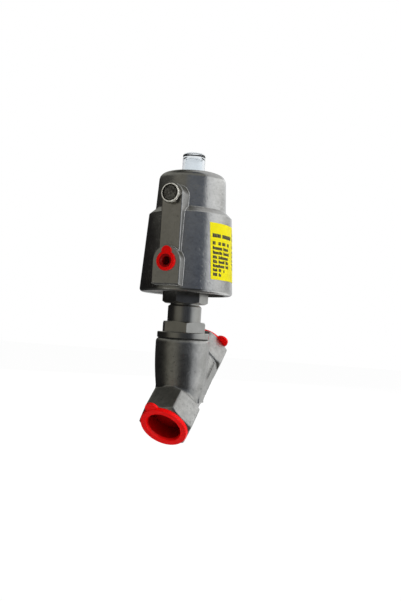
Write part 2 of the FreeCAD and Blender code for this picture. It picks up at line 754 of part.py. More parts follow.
def stem_packing():
    publish(ring("stem_wiper", WIPER_RADIUS, PACKING_INNER, BONNET_BOTTOM, "wiper_depth"), "stem_wiper")
    publish(ring("guide_bush", PACKING_OUTER, PACKING_INNER, PACKING_FLOOR, "guide_height"), "guide_bush")
    support = vee_ring("packing_support_ring", SUPPORT_BOTTOM, vee_below=False, height="support_height")
    publish(support, "packing_support_ring")
    for number in range(SIZES["ring_count"]):
        name = f"packing_ring_{number + 1}"
        publish(vee_ring(name, f"{RINGS_BOTTOM} + {number} * ring_height"), name)
    header = vee_ring("packing_header_ring", HEADER_BOTTOM, vee_above=False, height="header_height")
    publish(header, "packing_header_ring")
    publish(ring("packing_washer", PACKING_OUTER, PACKING_INNER, WASHER_BOTTOM, "washer_height"),
            "packing_washer")
    publish(coil("packing_spring", PACKING_MIDDLE, "packing_wire", PACKING_SPRING_BOTTOM,
                 "packing_spring_length", "packing_coils"), "packing_spring")
    groove = "stem_radius + 2 * stem_ring_section + 2 * packing_clearance"
    groove_low = f"{GLAND_BOTTOM} + gland_height / 2 - ring_groove_half * stem_ring_section"
    groove_high = f"{GLAND_BOTTOM} + gland_height / 2 + ring_groove_half * stem_ring_section"
    gland = turned("gland_bush", [
        (PACKING_INNER, GLAND_BOTTOM),
        (PACKING_OUTER, GLAND_BOTTOM),
        (PACKING_OUTER, GLAND_TOP),
        (PACKING_INNER, GLAND_TOP),
        (PACKING_INNER, groove_high),
        (groove, groove_high),
        (groove, groove_low),
        (PACKING_INNER, groove_low),
    ])
    publish(gland, "gland_bush")
    seal_ring("stem_o_ring", "stem_radius + stem_ring_section + packing_clearance",
              "stem_ring_section", f"{GLAND_BOTTOM} + gland_height / 2")
    clip = ring("gland_circlip_ring", GLAND_RING_OUTER, GLAND_RING_BORE, GLAND_TOP,
                "gland_ring_height")
    gap = block("gland_circlip_gap", ("0", "-gland_ring_gap / 2", GLAND_TOP),
                (f"2 * {GLAND_GROOVE}", "gland_ring_gap", "gland_ring_height"))
    publish(cut("gland_circlip", clip, gap), "gland_circlip")


def lock_nut():
    bar = hexagon("lock_nut_bar", "lock_nut_hex", NUT_BOTTOM, "lock_nut_height", True, high_chamfer=False)
    bore = rod("lock_nut_bore", f"{SPIGOT_RADIUS} + bore_clearance", f"{NUT_BOTTOM} - overrun",
               "lock_nut_height + 2 * overrun")
    return cut("lock_nut", bar, bore)


def actuator_base():
    outer = f"{BASE_BORE} - base_fit"
    inner = f"{SPIGOT_RADIUS} + running_clearance"
    outer_groove = f"{outer} - 2 * base_ring_section + ring_squeeze"
    inner_groove = f"{inner} + 2 * spigot_ring_section - ring_squeeze"
    ring_height = f"{BASE_BOTTOM} + base_ring_drop"
    spigot_ring_height = f"{BASE_BOTTOM} + spigot_ring_drop"
    return turned("actuator_base", [
        (inner, BASE_BOTTOM),
        (BASE_RECESS_INNER, BASE_BOTTOM),
        (f"{BASE_RECESS_INNER} + lead", f"{BASE_BOTTOM} + base_recess_depth"),
        (f"{BASE_RECESS_OUTER} - lead", f"{BASE_BOTTOM} + base_recess_depth"),
        (BASE_RECESS_OUTER, BASE_BOTTOM),
        (outer, BASE_BOTTOM),
        (outer, f"{ring_height} - ring_groove_half * base_ring_section"),
        (outer_groove, f"{ring_height} - ring_groove_half * base_ring_section"),
        (outer_groove, f"{ring_height} + ring_groove_half * base_ring_section"),
        (outer, f"{ring_height} + ring_groove_half * base_ring_section"),
        (outer, BASE_TOP),
        (inner, BASE_TOP),
        (inner, f"{spigot_ring_height} + ring_groove_half * spigot_ring_section"),
        (inner_groove, f"{spigot_ring_height} + ring_groove_half * spigot_ring_section"),
        (inner_groove, f"{spigot_ring_height} - ring_groove_half * spigot_ring_section"),
        (inner, f"{spigot_ring_height} - ring_groove_half * spigot_ring_section"),
    ])


def base_rings():
    outer = f"{BASE_BORE} - base_fit"
    inner = f"{SPIGOT_RADIUS} + running_clearance"
    seal_ring("base_o_ring", f"{outer} - base_ring_section + 2 * ring_squeeze", "base_ring_section",
              f"{BASE_BOTTOM} + base_ring_drop")
    seal_ring("spigot_o_ring", f"{inner} + spigot_ring_section - ring_squeeze - ring_play",
              "spigot_ring_section", f"{BASE_BOTTOM} + spigot_ring_drop")
    clip_bottom = f"{BASE_TOP} + running_clearance"
    clip = ring("base_circlip_ring", CIRCLIP_RADIUS, f"{SPIGOT_RADIUS} - circlip_groove_depth + bore_clearance",
                clip_bottom, "circlip_thickness")
    gap = block("base_circlip_gap", ("0", "-circlip_gap / 2", clip_bottom),
                (f"2 * {CIRCLIP_RADIUS}", "circlip_gap", "circlip_thickness"))
    publish(cut("base_circlip", clip, gap), "base_circlip")
    bottom = f"{BASE_BOTTOM} - retainer_thickness"
    edge = f"{BASE_BORE} + retainer_groove_depth - base_fit"
    band = ring("retainer_band", edge, f"{edge} - retainer_width", bottom, "retainer_thickness")
    gap = block("retainer_gap_space", ("0", "-retainer_gap / 2", bottom),
                (f"2 * {BASE_BORE}", "retainer_gap", "retainer_thickness"))
    lug_middle = f"({edge} - retainer_width)"
    lugs = []
    eyes = []
    for side in ("+", "-"):
        end = "a" if side == "+" else "b"
        lug = rod("retainer_lug_" + end, "retainer_lug", bottom, "retainer_thickness")
        eye = rod("retainer_eye_" + end, "retainer_eye", f"{bottom} - overrun",
                  "retainer_thickness + 2 * overrun")
        for item in (lug, eye):
            bind(item, Placement__Base__x=f"{lug_middle} * cos(asin(retainer_gap / 2 / {lug_middle}))",
                 Placement__Base__y=f"0 {side} (retainer_gap / 2 + retainer_lug / 2)")
        lugs.append(lug)
        eyes.append(eye)
    open_band = cut("retainer_open_band", band, gap)
    eyeless = fuse("retainer_with_lugs", open_band, *lugs)
    publish(cut("base_retaining_ring", eyeless, *eyes), "base_retaining_ring")


def drafted_pad(body, name, face, half_width, low, middle):
    """An arch-topped boss towards -X, its sides drafted so that it has the given size at its face."""
    grow = f"{face} * tan(draft_angle)"
    half = f"({half_width} + {grow})"
    profile = closed_sketch(body, "YZ_Plane", [
        (f"-{half}", low),
        (half, low),
        (half, middle, half, -1),
        ("0", f"{middle} + {half}", half, -1),
        (f"-{half}", middle),
    ])
    pad = body.newObject("PartDesign::Pad", name)
    pad.Profile = profile
    pad.Reversed = True
    pad.TaperAngle = -1
    bind(pad, Length=face, TaperAngle="-draft_angle")
    return pad


def housing_casting():
    """The housing's outer form: two drafted drums, a rounded roof and the air rib with its pad."""
    body = doc.addObject("PartDesign::Body", "housing_casting")
    outline = closed_sketch(body, "XZ_Plane", [
        ("0", HOUSING_BOTTOM),
        (f"{HOUSING_FOOT} - housing_foot_round", HOUSING_BOTTOM, "housing_foot_round", -1),
        (HOUSING_FOOT, f"{HOUSING_BOTTOM} + housing_foot_round"),
        (LOWER_TOP_RADIUS, LOWER_TOP),
        (UPPER_FOOT_RADIUS, UPPER_FOOT),
        (UPPER_TOP_RADIUS, f"{HOUSING_TOP} - housing_round", "housing_round", -1),
        (f"{UPPER_TOP_RADIUS} - housing_round", HOUSING_TOP),
        ("0", HOUSING_TOP),
    ])
    drums = body.newObject("PartDesign::Revolution", "housing_drums")
    drums.Profile = outline
    drums.ReferenceAxis = (outline, ["V_Axis"])
    drums.Angle = 360
    drafted_pad(body, "air_rib", RIB_FACE, "rib_width / 2", AIR_PORT_HEIGHT, VENT_HEIGHT)
    drafted_pad(body, "port_pad", PAD_FACE, "pad_width / 2", PAD_FOOT, AIR_PORT_HEIGHT)
    doc.recompute()
    before = body.Shape.Volume
    bevel = closed_sketch(body, "XZ_Plane", [
        (f"-{PAD_BEVEL_FOOT}", f"{PAD_FOOT} - overrun"),
        (f"-{PAD_BEVEL_FOOT}", PAD_FOOT),
        (f"-{PAD_FACE}", PAD_BEVEL_TOP),
        (f"-{PAD_FACE} - overrun", PAD_BEVEL_TOP),
        (f"-{PAD_FACE} - overrun", f"{PAD_FOOT} - overrun"),
    ])
    pocket = body.newObject("PartDesign::Pocket", "pad_bevel")
    pocket.Profile = bevel
    pocket.SideType = "Symmetric"
    bind(pocket, Length="2 * pad_width")
    doc.recompute()
    if body.Shape.Volume >= before:
        raise RuntimeError("the pad's bevel cuts nothing")
    round_face_edges(body, "pad_bevel")
    return body


def round_face_edges(body, base_name):
    """Round the rim of the rib's and the pad's outer faces."""
    base = doc.getObject(base_name)
    levels = (-value(RIB_FACE), -value(PAD_FACE))
    names = []
    for number, edge in enumerate(base.Shape.Edges, start=1):
        flat = any(abs(edge.BoundBox.XMin - level) < 1e-4 and edge.BoundBox.XLength < 1e-4 for level in levels)
        if flat and not is_inner_corner(edge):
            names.append(f"Edge{number}")
    rounding = body.newObject("PartDesign::Fillet", "face_rounding")
    rounding.Base = (base, names)
    bind(rounding, Radius="face_edge_round")
    doc.recompute()


def is_inner_corner(edge):
    """The arch where the pad stands on the rib's face is an inner corner, and stays sharp."""
    on_rib = abs(edge.BoundBox.XMin + value(RIB_FACE)) < 1e-4
    return on_rib and edge.BoundBox.ZMax < value(f"({AIR_PORT_HEIGHT} + {VENT_HEIGHT}) / 2")


def actuator_housing():
    space = turned("housing_space", [
        ("0", f"{HOUSING_BOTTOM} - overrun"),
        (BASE_BORE, f"{HOUSING_BOTTOM} - overrun"),
        (BASE_BORE, RETAINER_BOTTOM),
        (f"{BASE_BORE} + retainer_groove_depth", RETAINER_BOTTOM),
        (f"{BASE_BORE} + retainer_groove_depth", f"{BASE_BOTTOM} + base_fit"),
        (BASE_BORE, f"{BASE_BOTTOM} + base_fit"),
        (BASE_BORE, BASE_TOP),
        ("piston_bore", BASE_TOP),
        ("piston_bore", PISTON_BORE_TOP),
        (SPRING_BORE, PISTON_BORE_TOP),
        (SPRING_BORE, ROOF),
        (DOME_HOLE, ROOF),
        (DOME_HOLE, f"{HOUSING_TOP} - dome_ring_depth"),
        (DOME_RING_SEAT, f"{HOUSING_TOP} - dome_ring_depth"),
        (DOME_RING_SEAT, f"{HOUSING_TOP} + overrun"),
        ("0", f"{HOUSING_TOP} + overrun"),
    ])
    port = towards_rib(rod("air_port_space", "air_port_bore", "0", "air_port_depth + overrun"),
                       f"{PAD_FACE} - air_port_depth", AIR_PORT_HEIGHT)
    feed = towards_rib(rod("air_feed", "air_hole", "0", f"{PAD_FACE} - piston_bore"), "piston_bore - overrun",
                       AIR_PORT_HEIGHT)
    vent = towards_rib(rod("vent_space", "vent_bore", "0", RIB_FACE), f"{SPRING_BORE} - overrun", VENT_HEIGHT)
    return cut("actuator_housing", housing_casting(), space, port, feed, vent)


def towards_rib(item, start, height):
    """Lay a piece made along Z on an axis towards -X, starting at a distance from the stem's axis."""
    tilt(item, FreeCAD.Vector(0, 1, 0), "-90")
    place(item, x=f"-({start})", z=height)
    return item


def silencer():
    """A vent silencer made along Z from its seat on the rib's face."""
    top = "silencer_hex_height + silencer_lip_height"
    hex_bar = hexagon("silencer_hex_bar", "silencer_hex", "0", "silencer_hex_height", False)
    barrel = turned("silencer_barrel", [
        ("0", "-silencer_shank_length"),
        (f"{SILENCER_SHANK} - edge", "-silencer_shank_length"),
        (SILENCER_SHANK, "edge - silencer_shank_length"),
        (SILENCER_SHANK, "edge"),
        ("silencer_lip - lead", "silencer_hex_height"),
        ("silencer_lip", "silencer_hex_height + lead"),
        ("silencer_lip", f"{top} - edge"),
        ("silencer_lip - edge", top),
        ("0", top),
    ])
    mouth = rod("silencer_mouth_space", SILENCER_MOUTH, f"{top} - element_drop - element_thickness",
                "element_drop + element_thickness + overrun")
    bore = rod("silencer_bore_space", "silencer_bore", "-silencer_shank_length - overrun",
               "silencer_shank_length + silencer_hex_height")
    body = cut("silencer_body", fuse("silencer_solid", barrel, hex_bar), mouth, bore)
    element = turned("silencer_element", [
        ("0", f"{top} - element_drop - element_thickness"),
        (f"{SILENCER_MOUTH} - bore_clearance", f"{top} - element_drop - element_thickness"),
        (f"{SILENCER_MOUTH} - bore_clearance", f"{top} - element_drop - edge"),
        (f"{SILENCER_MOUTH} - bore_clearance - edge", f"{top} - element_drop"),
        ("0", f"{top} - element_drop"),
    ])
    for item, name in ((body, "silencer_body"), (element, "silencer_element")):
        publish_on_rib(item, name, RIB_FACE, VENT_HEIGHT)


def publish_on_rib(item, name, distance, height):
    tilt(item, FreeCAD.Vector(0, 1, 0), "-90")
    publish(item, name)
    place(item, x=f"inlet_length * sin(pipe_angle) - ({distance})",
          z=f"inlet_length * cos(pipe_angle) + ({height})")


def air_port_plug():
    """A push-in plug made along Z, seated on the pad's face, its tab towards the part's top."""
    cup = turned("air_plug_cup", [
        ("0", "-air_plug_depth"),
        (f"{AIR_PLUG_SLEEVE} - edge", "-air_plug_depth"),
        (AIR_PLUG_SLEEVE, "edge - air_plug_depth"),
        (AIR_PLUG_SLEEVE, "0"),
        (AIR_PLUG_FLANGE, "0"),
        (AIR_PLUG_FLANGE, "air_plug_thickness - edge"),
        (f"{AIR_PLUG_FLANGE} - edge", "air_plug_thickness"),
        ("air_plug_bore + lead", "air_plug_thickness"),
        ("air_plug_bore", "air_plug_thickness - lead"),
        ("air_plug_bore", "air_plug_floor - air_plug_depth"),
        ("0", "air_plug_floor - air_plug_depth"),
    ])
    tab = rod("air_plug_tab_disc", "air_plug_tab", "0", "air_plug_tab_thickness")
    place(tab, x=AIR_PLUG_TAB_RISE)
    mouth = rod("air_plug_mouth", "air_plug_bore + lead", "-overrun", "air_plug_thickness + 2 * overrun")
    plug = fuse("air_port_plug", cup, cut("air_plug_grip", tab, mouth))
    publish_on_rib(plug, "air_port_plug", PAD_FACE, AIR_PORT_HEIGHT)


def sight_dome():
    dome = turned("sight_dome", [
        (DOME_BORE, ROOF),
        (DOME_SHANK, ROOF),
        (DOME_SHANK, DOME_FOOT),
        ("dome_radius", DOME_FOOT),
        ("dome_radius", f"{DOME_TOP} - dome_round", "dome_round", -1),
        ("dome_radius - dome_round", DOME_TOP),
        ("0", DOME_TOP),
        ("0", f"{DOME_TOP} - dome_roof"),
        (f"{DOME_BORE} - dome_round", f"{DOME_TOP} - dome_roof"),
        (DOME_BORE, f"{DOME_TOP} - dome_roof - dome_round"),
    ])
    publish(dome, "sight_dome")
    seal_ring("dome_o_ring", f"{DOME_SHANK} + dome_ring_section + ring_play", "dome_ring_section",
              f"{HOUSING_TOP} - dome_ring_depth + dome_ring_section")


def label():
    """A thin label that lies on the drafted side of the lower drum."""
    slope = f"({HOUSING_FOOT} - {LOWER_TOP_RADIUS}) / ({LOWER_TOP} - {HOUSING_BOTTOM} - housing_foot_round)"
    low = f"{HOUSING_FOOT} - {slope} * ({LABEL_LOW} - {HOUSING_BOTTOM} - housing_foot_round)"
    high = f"{HOUSING_FOOT} - {slope} * ({LABEL_HIGH} - {HOUSING_BOTTOM} - housing_foot_round)"
    body = turned("label", [
        (low, LABEL_LOW),
        (f"{low} + label_thickness", LABEL_LOW),
        (f"{high} + label_thickness", LABEL_HIGH),
        (high, LABEL_HIGH),
    ], sweep="label_sweep_angle")
    tilt(body, FreeCAD.Vector(0, 0, 1), "label_angle")
    publish(body, "label")


def stem_group():
    stem = turned("stem", [
        ("0", f"{SEAL_BOTTOM} - stem_foot"),
        (f"{STEM_THREAD} - edge", f"{SEAL_BOTTOM} - stem_foot"),
        (STEM_THREAD, f"{SEAL_BOTTOM} - stem_foot + edge"),
        (STEM_THREAD, DISC_SHOULDER),
        ("stem_radius", DISC_SHOULDER),
        ("stem_radius", STEM_SEAT),
        (PISTON_THREAD, STEM_SEAT),
        (PISTON_THREAD, f"{STEM_TOP} - edge"),
        (f"{PISTON_THREAD} - edge", STEM_TOP),
        ("0", STEM_TOP),
    ])
    publish(stem, "stem")
    holder_bore = "stem_radius + bore_clearance"
    thread_bore = f"{STEM_THREAD} + bore_clearance"
    seal_top = f"{SEAL_BOTTOM} + seal_thickness"
    holder = turned("disc_holder", [
        (thread_bore, seal_top),
        (f"{SEAL_RADIUS} + bore_clearance", seal_top),
        (f"{SEAL_RADIUS} + bore_clearance", f"{SEAL_BOTTOM} + holder_lip"),
        (HOLDER_RADIUS, f"{SEAL_BOTTOM} + holder_lip"),
        (HOLDER_RADIUS, f"{seal_top} + holder_plate"),
        ("holder_hub", f"{seal_top} + holder_plate + holder_slope"),
        ("holder_hub", f"{SEAL_BOTTOM} + holder_height"),
        (holder_bore, f"{SEAL_BOTTOM} + holder_height"),
        (holder_bore, DISC_SHOULDER),
        (thread_bore, DISC_SHOULDER),
    ])
    publish(holder, "disc_holder")
    publish(ring("disc_seal", SEAL_RADIUS, thread_bore, SEAL_BOTTOM, "seal_thickness"), "disc_seal")
    washer_bottom = f"{SEAL_BOTTOM} - disc_washer_thickness"
    publish(ring("disc_washer", DISC_WASHER_RADIUS, thread_bore, washer_bottom, "disc_washer_thickness"),
            "disc_washer")
    nut_bottom = f"{washer_bottom} - disc_nut_height"
    publish(threaded_nut("disc_nut", "disc_nut_hex", nut_bottom, "disc_nut_height", thread_bore), "disc_nut")


def threaded_nut(name, across, bottom, height, bore_radius):
    bar = hexagon(name + "_blank", across, bottom, height, False)
    bore = rod(name + "_bore", bore_radius, f"{bottom} - overrun", f"{height} + 2 * overrun")
    return cut(name, bar, bore)


def piston():
    bore = f"{PISTON_THREAD} + bore_clearance"
    ring_groove = f"{bore} + 2 * piston_ring_section + ring_squeeze"
    ring_middle = f"{STEM_SEAT} + piston_ring_rise"
    seal_low = f"{RIM_BOTTOM} + seal_groove_foot"
    band_low = f"{RIM_BOTTOM} + band_groove_foot"
    rim_top = f"{RIM_BOTTOM} + piston_rim_height"
    return turned("piston", [
        (bore, STEM_SEAT),
        (f"{PISTON_HUB} - lead", STEM_SEAT),
        (PISTON_HUB, f"{STEM_SEAT} + lead"),
        (PISTON_HUB, RIM_BOTTOM),
        (f"{PISTON_RADIUS} - edge", RIM_BOTTOM),
        (PISTON_RADIUS, f"{RIM_BOTTOM} + edge"),
        (PISTON_RADIUS, seal_low),
        (f"{PISTON_RADIUS} - seal_groove_depth", seal_low),
        (f"{PISTON_RADIUS} - seal_groove_depth", f"{seal_low} + seal_groove_height"),
        (PISTON_RADIUS, f"{seal_low} + seal_groove_height"),
        (PISTON_RADIUS, band_low),
        (f"{PISTON_RADIUS} - band_groove_depth", band_low),
        (f"{PISTON_RADIUS} - band_groove_depth", f"{band_low} + band_groove_height"),
        (PISTON_RADIUS, f"{band_low} + band_groove_height"),
        (PISTON_RADIUS, rim_top),
        (PISTON_RIM_INNER, rim_top),
        (PISTON_RIM_INNER, SPRING_SEAT),
        (PISTON_HUB, SPRING_SEAT),
        (PISTON_HUB, f"{HUB_TOP} - lead"),
        (f"{PISTON_HUB} - lead", HUB_TOP),
        (bore, HUB_TOP),
        (bore, f"{ring_middle} + ring_groove_half * piston_ring_section"),
        (ring_groove, f"{ring_middle} + ring_groove_half * piston_ring_section"),
        (ring_groove, f"{ring_middle} - ring_groove_half * piston_ring_section"),
        (bore, f"{ring_middle} - ring_groove_half * piston_ring_section"),
    ])


def piston_group():
    publish(piston(), "piston")
    seal_low = f"{RIM_BOTTOM} + seal_groove_foot + seal_fit"
    seal_high = f"{seal_low} + seal_groove_height - 2 * seal_fit"
    seal_inner = f"({PISTON_RADIUS} - seal_groove_depth + seal_fit)"
    seal_outer = "piston_bore - seal_fit"
    publish(turned("piston_seal", [
        (seal_inner, seal_low),
        (f"{seal_inner} + lead", seal_low),
        (f"({seal_inner} + {PISTON_RADIUS}) / 2", f"{seal_low} + lead"),
        (f"{seal_outer} - lead", seal_low),
        (seal_outer, f"{seal_low} + edge"),
        (f"{seal_outer} - edge", seal_high),
        (seal_inner, seal_high),
    ]), "piston_seal")
    band_low = f"{RIM_BOTTOM} + band_groove_foot + seal_fit"
    band_inner = f"{PISTON_RADIUS} - band_groove_depth + seal_fit"
    publish(ring("piston_guide_band", "piston_bore - seal_fit", band_inner, band_low,
                 "band_groove_height - 2 * seal_fit"), "piston_guide_band")
    seal_ring("piston_o_ring", f"{PISTON_THREAD} + bore_clearance + piston_ring_section",
              "piston_ring_section", f"{STEM_SEAT} + piston_ring_rise")
    bore = f"{PISTON_THREAD} + bore_clearance"
    publish(ring("piston_washer", PISTON_WASHER_RADIUS, bore, HUB_TOP, "piston_washer_thickness"),
            "piston_washer")
    publish(threaded_nut("piston_nut", PISTON_NUT_HEX, f"{HUB_TOP} + piston_washer_thickness",
                         "piston_nut_height", bore), "piston_nut")
    spring_length = f"{ROOF} - ({SPRING_SEAT})"
    publish(coil("outer_spring", OUTER_SPRING_RADIUS, "outer_wire", SPRING_SEAT, spring_length, "outer_coils"),
            "outer_spring")
    publish(coil("inner_spring", INNER_SPRING_RADIUS, "inner_wire", SPRING_SEAT, spring_length, "inner_coils"),
            "inner_spring")


def position_indicator():
    cap_bottom = f"{INDICATOR_TOP} - indicator_height"
    publish(turned("position_indicator", [
        ("0", STEM_TOP),
        ("indicator_rod", STEM_TOP),
        ("indicator_rod", cap_bottom),
        (f"{INDICATOR_RADIUS} - edge", cap_bottom),
        (INDICATOR_RADIUS, f"{cap_bottom} + edge"),
        (INDICATOR_RADIUS, f"{INDICATOR_TOP} - indicator_chamfer"),
        (f"{INDICATOR_RADIUS} - indicator_chamfer", INDICATOR_TOP),
        ("0", INDICATOR_TOP),
    ]), "position_indicator")


def build():
    publish(valve_body(), "valve_body")
    mounted_plug("inlet_plug", "inlet_tab_angle", at_outlet=False)
    mounted_plug("outlet_plug", "outlet_tab_angle", at_outlet=True)
    gasket_inner = f"{NECK_THREAD} - thread_clearance + gasket_play"
    publish(ring("body_gasket", GASKET_RADIUS, gasket_inner, "body_top", "gasket_thickness"), "body_gasket")
    publish(bonnet(), "bonnet")
    stem_packing()
    publish(lock_nut(), "lock_nut")
    publish(actuator_base(), "actuator_base")
    base_rings()
    publish(actuator_housing(), "actuator_housing")
    silencer()
    air_port_plug()
    sight_dome()
    label()
    stem_group()
    piston_group()
    position_indicator()


def check():
    """Stop if any object failed, or any piece is empty or invalid."""
    failed = [item.Name for item in doc.Objects if {"Invalid", "Error"} & set(item.State)]
    failed += [item.Label for item in pieces if item.Shape.isNull() or not item.Shape.isValid()]
    if failed:
        raise RuntimeError("failed objects: " + ", ".join(failed))


def export():
    os.makedirs("parts", exist_ok=True)
    for item in pieces:
        item.Shape.exportStep(f"parts/{item.Label}.step")


build()
doc.recompute()
check()
export()
print(len(pieces), "pieces")
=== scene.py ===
import json
import math

import bmesh
import bpy
from mathutils import Matrix, Vector, kdtree, noise


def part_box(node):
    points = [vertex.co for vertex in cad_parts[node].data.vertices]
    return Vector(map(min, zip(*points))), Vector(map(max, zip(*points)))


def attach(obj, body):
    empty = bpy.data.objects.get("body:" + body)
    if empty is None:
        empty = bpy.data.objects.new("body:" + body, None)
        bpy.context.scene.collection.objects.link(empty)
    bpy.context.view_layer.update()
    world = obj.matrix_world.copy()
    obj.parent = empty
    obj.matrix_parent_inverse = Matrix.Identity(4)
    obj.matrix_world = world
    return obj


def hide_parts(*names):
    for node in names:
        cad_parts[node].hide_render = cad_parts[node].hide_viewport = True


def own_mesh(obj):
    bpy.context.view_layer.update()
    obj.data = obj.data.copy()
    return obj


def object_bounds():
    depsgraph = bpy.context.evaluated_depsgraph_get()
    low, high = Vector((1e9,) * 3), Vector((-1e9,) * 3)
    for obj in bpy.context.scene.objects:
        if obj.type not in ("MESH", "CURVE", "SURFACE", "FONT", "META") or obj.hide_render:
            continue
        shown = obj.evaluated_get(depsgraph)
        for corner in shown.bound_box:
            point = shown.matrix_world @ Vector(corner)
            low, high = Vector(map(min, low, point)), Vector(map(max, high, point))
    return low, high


# Looks of an angle seat valve with a pneumatic actuator. Lengths are metres, angles are degrees.

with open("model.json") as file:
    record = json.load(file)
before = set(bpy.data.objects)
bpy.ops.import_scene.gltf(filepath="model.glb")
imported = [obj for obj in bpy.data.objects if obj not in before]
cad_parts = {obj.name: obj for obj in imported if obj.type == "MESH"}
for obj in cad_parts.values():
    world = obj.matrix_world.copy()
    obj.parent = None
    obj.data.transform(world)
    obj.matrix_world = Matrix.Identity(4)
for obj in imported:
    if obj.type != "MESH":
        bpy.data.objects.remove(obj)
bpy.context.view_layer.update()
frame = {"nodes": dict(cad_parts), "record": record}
nodes = frame["nodes"]

CAMERA_PLACE = Vector((-0.51415, -0.23235, 0.07674))
CAMERA_HEADING = 21.97
CAMERA_PITCH = 2.68
CAMERA_ROLL = 3.54
CAMERA_SENSOR = 36
CAMERA_FOCAL_IN_IMAGE_HEIGHTS = 690.2 / 601

FLOOR_DROP = 0.03
FLOOR_SIZE = 6
FLOOR_SHARE = 0.85
FLOOR_WHITE = 1.1
FLOOR_PAPER = (0.9, 0.9, 0.9, 1)

# Shared by several materials. Stops are pairs of position and value.
LOOK_SAMPLES = 6
CLOUD_STOPS = ((0.3, 0), (0.7, 1))
EDGE_LEAN_STOPS = ((0.86, 1), (0.985, 0))
# Occlusion levels at which the painted shade in corners is deepest and gone.
CAVITY_CLOSED = 0.35
CAVITY_OPEN = 0.85


# Node graph helpers

class Graph:
    """A short way to write node graphs."""

    def __init__(self, tree):
        self.tree = tree

    def node(self, kind, settings=None, **inputs):
        made = self.tree.nodes.new(kind)
        for name, setting in (settings or {}).items():
            setattr(made, name, setting)
        for name, source in inputs.items():
            self.feed(made.inputs[name.replace("_", " ")], source)
        return made

    def feed(self, socket, source):
        if isinstance(source, bpy.types.NodeSocket):
            self.tree.links.new(source, socket)
        else:
            socket.default_value = source

    def math(self, operation, *sources):
        made = self.tree.nodes.new("ShaderNodeMath")
        made.operation = operation
        for socket, source in zip(made.inputs, sources):
            self.feed(socket, source)
        return made.outputs[0]

    def ramp(self, source, stops, interpolation="LINEAR"):
        """A colour or grey ramp from a list of (position, grey or colour)."""
        made = self.tree.nodes.new("ShaderNodeValToRGB")
        made.color_ramp.interpolation = interpolation
        elements = made.color_ramp.elements
        while len(elements) < len(stops):
            elements.new(0.5)
        for element, (position, colour) in zip(elements, stops):
            element.position = position
            element.color = (*colour, 1) if isinstance(colour, tuple) else (colour, colour, colour, 1)
        self.feed(made.inputs["Fac"], source)
        return made.outputs["Color"]

    def mix(self, factor, first, second):
        made = self.tree.nodes.new("ShaderNodeMix")
        made.data_type = "RGBA"
        self.feed(made.inputs["Factor"], factor)
        self.feed(made.inputs["A"], (*first, 1) if isinstance(first, tuple) else first)
        self.feed(made.inputs["B"], (*second, 1) if isinstance(second, tuple) else second)
        return made.outputs["Result"]

    def noise(self, vector, scale, detail=3, roughness=0.5):
        made = self.node("ShaderNodeTexNoise", Vector=vector, Scale=scale, Detail=detail, Roughness=roughness)
        return made.outputs["Fac"]

    def soft_edges(self, radius):
        """A normal that rounds sharp edges and inner corners by a small radius."""
        return self.node("ShaderNodeBevel", {"samples": LOOK_SAMPLES}, Radius=radius).outputs["Normal"]

    def edge_share(self, normal):
        """How far a rounded normal leans from the true one: 1 on edges and in creases, 0 elsewhere."""
        facing = self.node("ShaderNodeVectorMath", {"operation": "DOT_PRODUCT"})
        self.feed(facing.inputs[0], normal)
        self.feed(facing.inputs[1], self.node("ShaderNodeNewGeometry").outputs["Normal"])
        return self.ramp(facing.outputs["Value"], EDGE_LEAN_STOPS)

    def painted_corner_shade(self, reach, deepest, samples=LOOK_SAMPLES):
        """A share of painted shade: it falls from 1 in the open to its deepest value in tight corners of the same
        piece.
        """
        settings = {"samples": samples, "only_local": True}
        opening = self.node("ShaderNodeAmbientOcclusion", settings, Distance=reach).outputs["AO"]
        return self.ramp(opening, [(CAVITY_CLOSED, deepest), (CAVITY_OPEN, 1)])

    def distance_from_line(self, place, start, direction):
        """How far a place lies from the line through a start point along a unit direction."""
        offset = self.node("ShaderNodeVectorMath", {"operation": "SUBTRACT"})
        self.feed(offset.inputs[0], place)
        self.feed(offset.inputs[1], start)
        across = self.node("ShaderNodeVectorMath", {"operation": "CROSS_PRODUCT"})
        self.feed(across.inputs[0], offset.outputs["Vector"])
        self.feed(across.inputs[1], direction)
        length = self.node("ShaderNodeVectorMath", {"operation": "LENGTH"})
        self.feed(length.inputs[0], across.outputs["Vector"])
        return length.outputs["Value"]

    def bump(self, height, strength, distance, normal=None):
        made = self.node("ShaderNodeBump", Height=height, Strength=strength, Distance=distance)
        if normal is not None:
            self.feed(made.inputs["Normal"], normal)
        return made.outputs["Normal"]


def new_material(name):
    material = bpy.data.materials.new(name)
    material.use_nodes = True
    material.node_tree.nodes.clear()
    graph = Graph(material.node_tree)
    shader = graph.node("ShaderNodeBsdfPrincipled")
    output = graph.node("ShaderNodeOutputMaterial")
    graph.feed(output.inputs["Surface"], shader.outputs["BSDF"])
    place = graph.node("ShaderNodeTexCoord").outputs["Object"]
    return material, graph, shader, place


# Cast steel: noise scales per metre, stops, and bump depths in metres.
CAST_CLOUDS = 55
CAST_GRAINS = 1500
CAST_PATCHES = 240
CAST_SPECKS = 420
CAST_PORES = 600
CAST_WAVES = 160
PATCH_STOPS = ((0.36, 1), (0.62, 0))
SPECK_STOPS = ((0.64, 0), (0.70, 1))
PORE_STOPS = ((0.25, 0), (0.36, 1))
PATCH_SHADE = 0.4
SPECK_SHADE = 0.3
CAST_ROUGH_SPREAD = 0.1
GRAIN_DEPTH = 0.00008
WAVE_DEPTH = 0.0004
WAVE_STRENGTH = 0.35
PORE_DEPTH = 0.00025


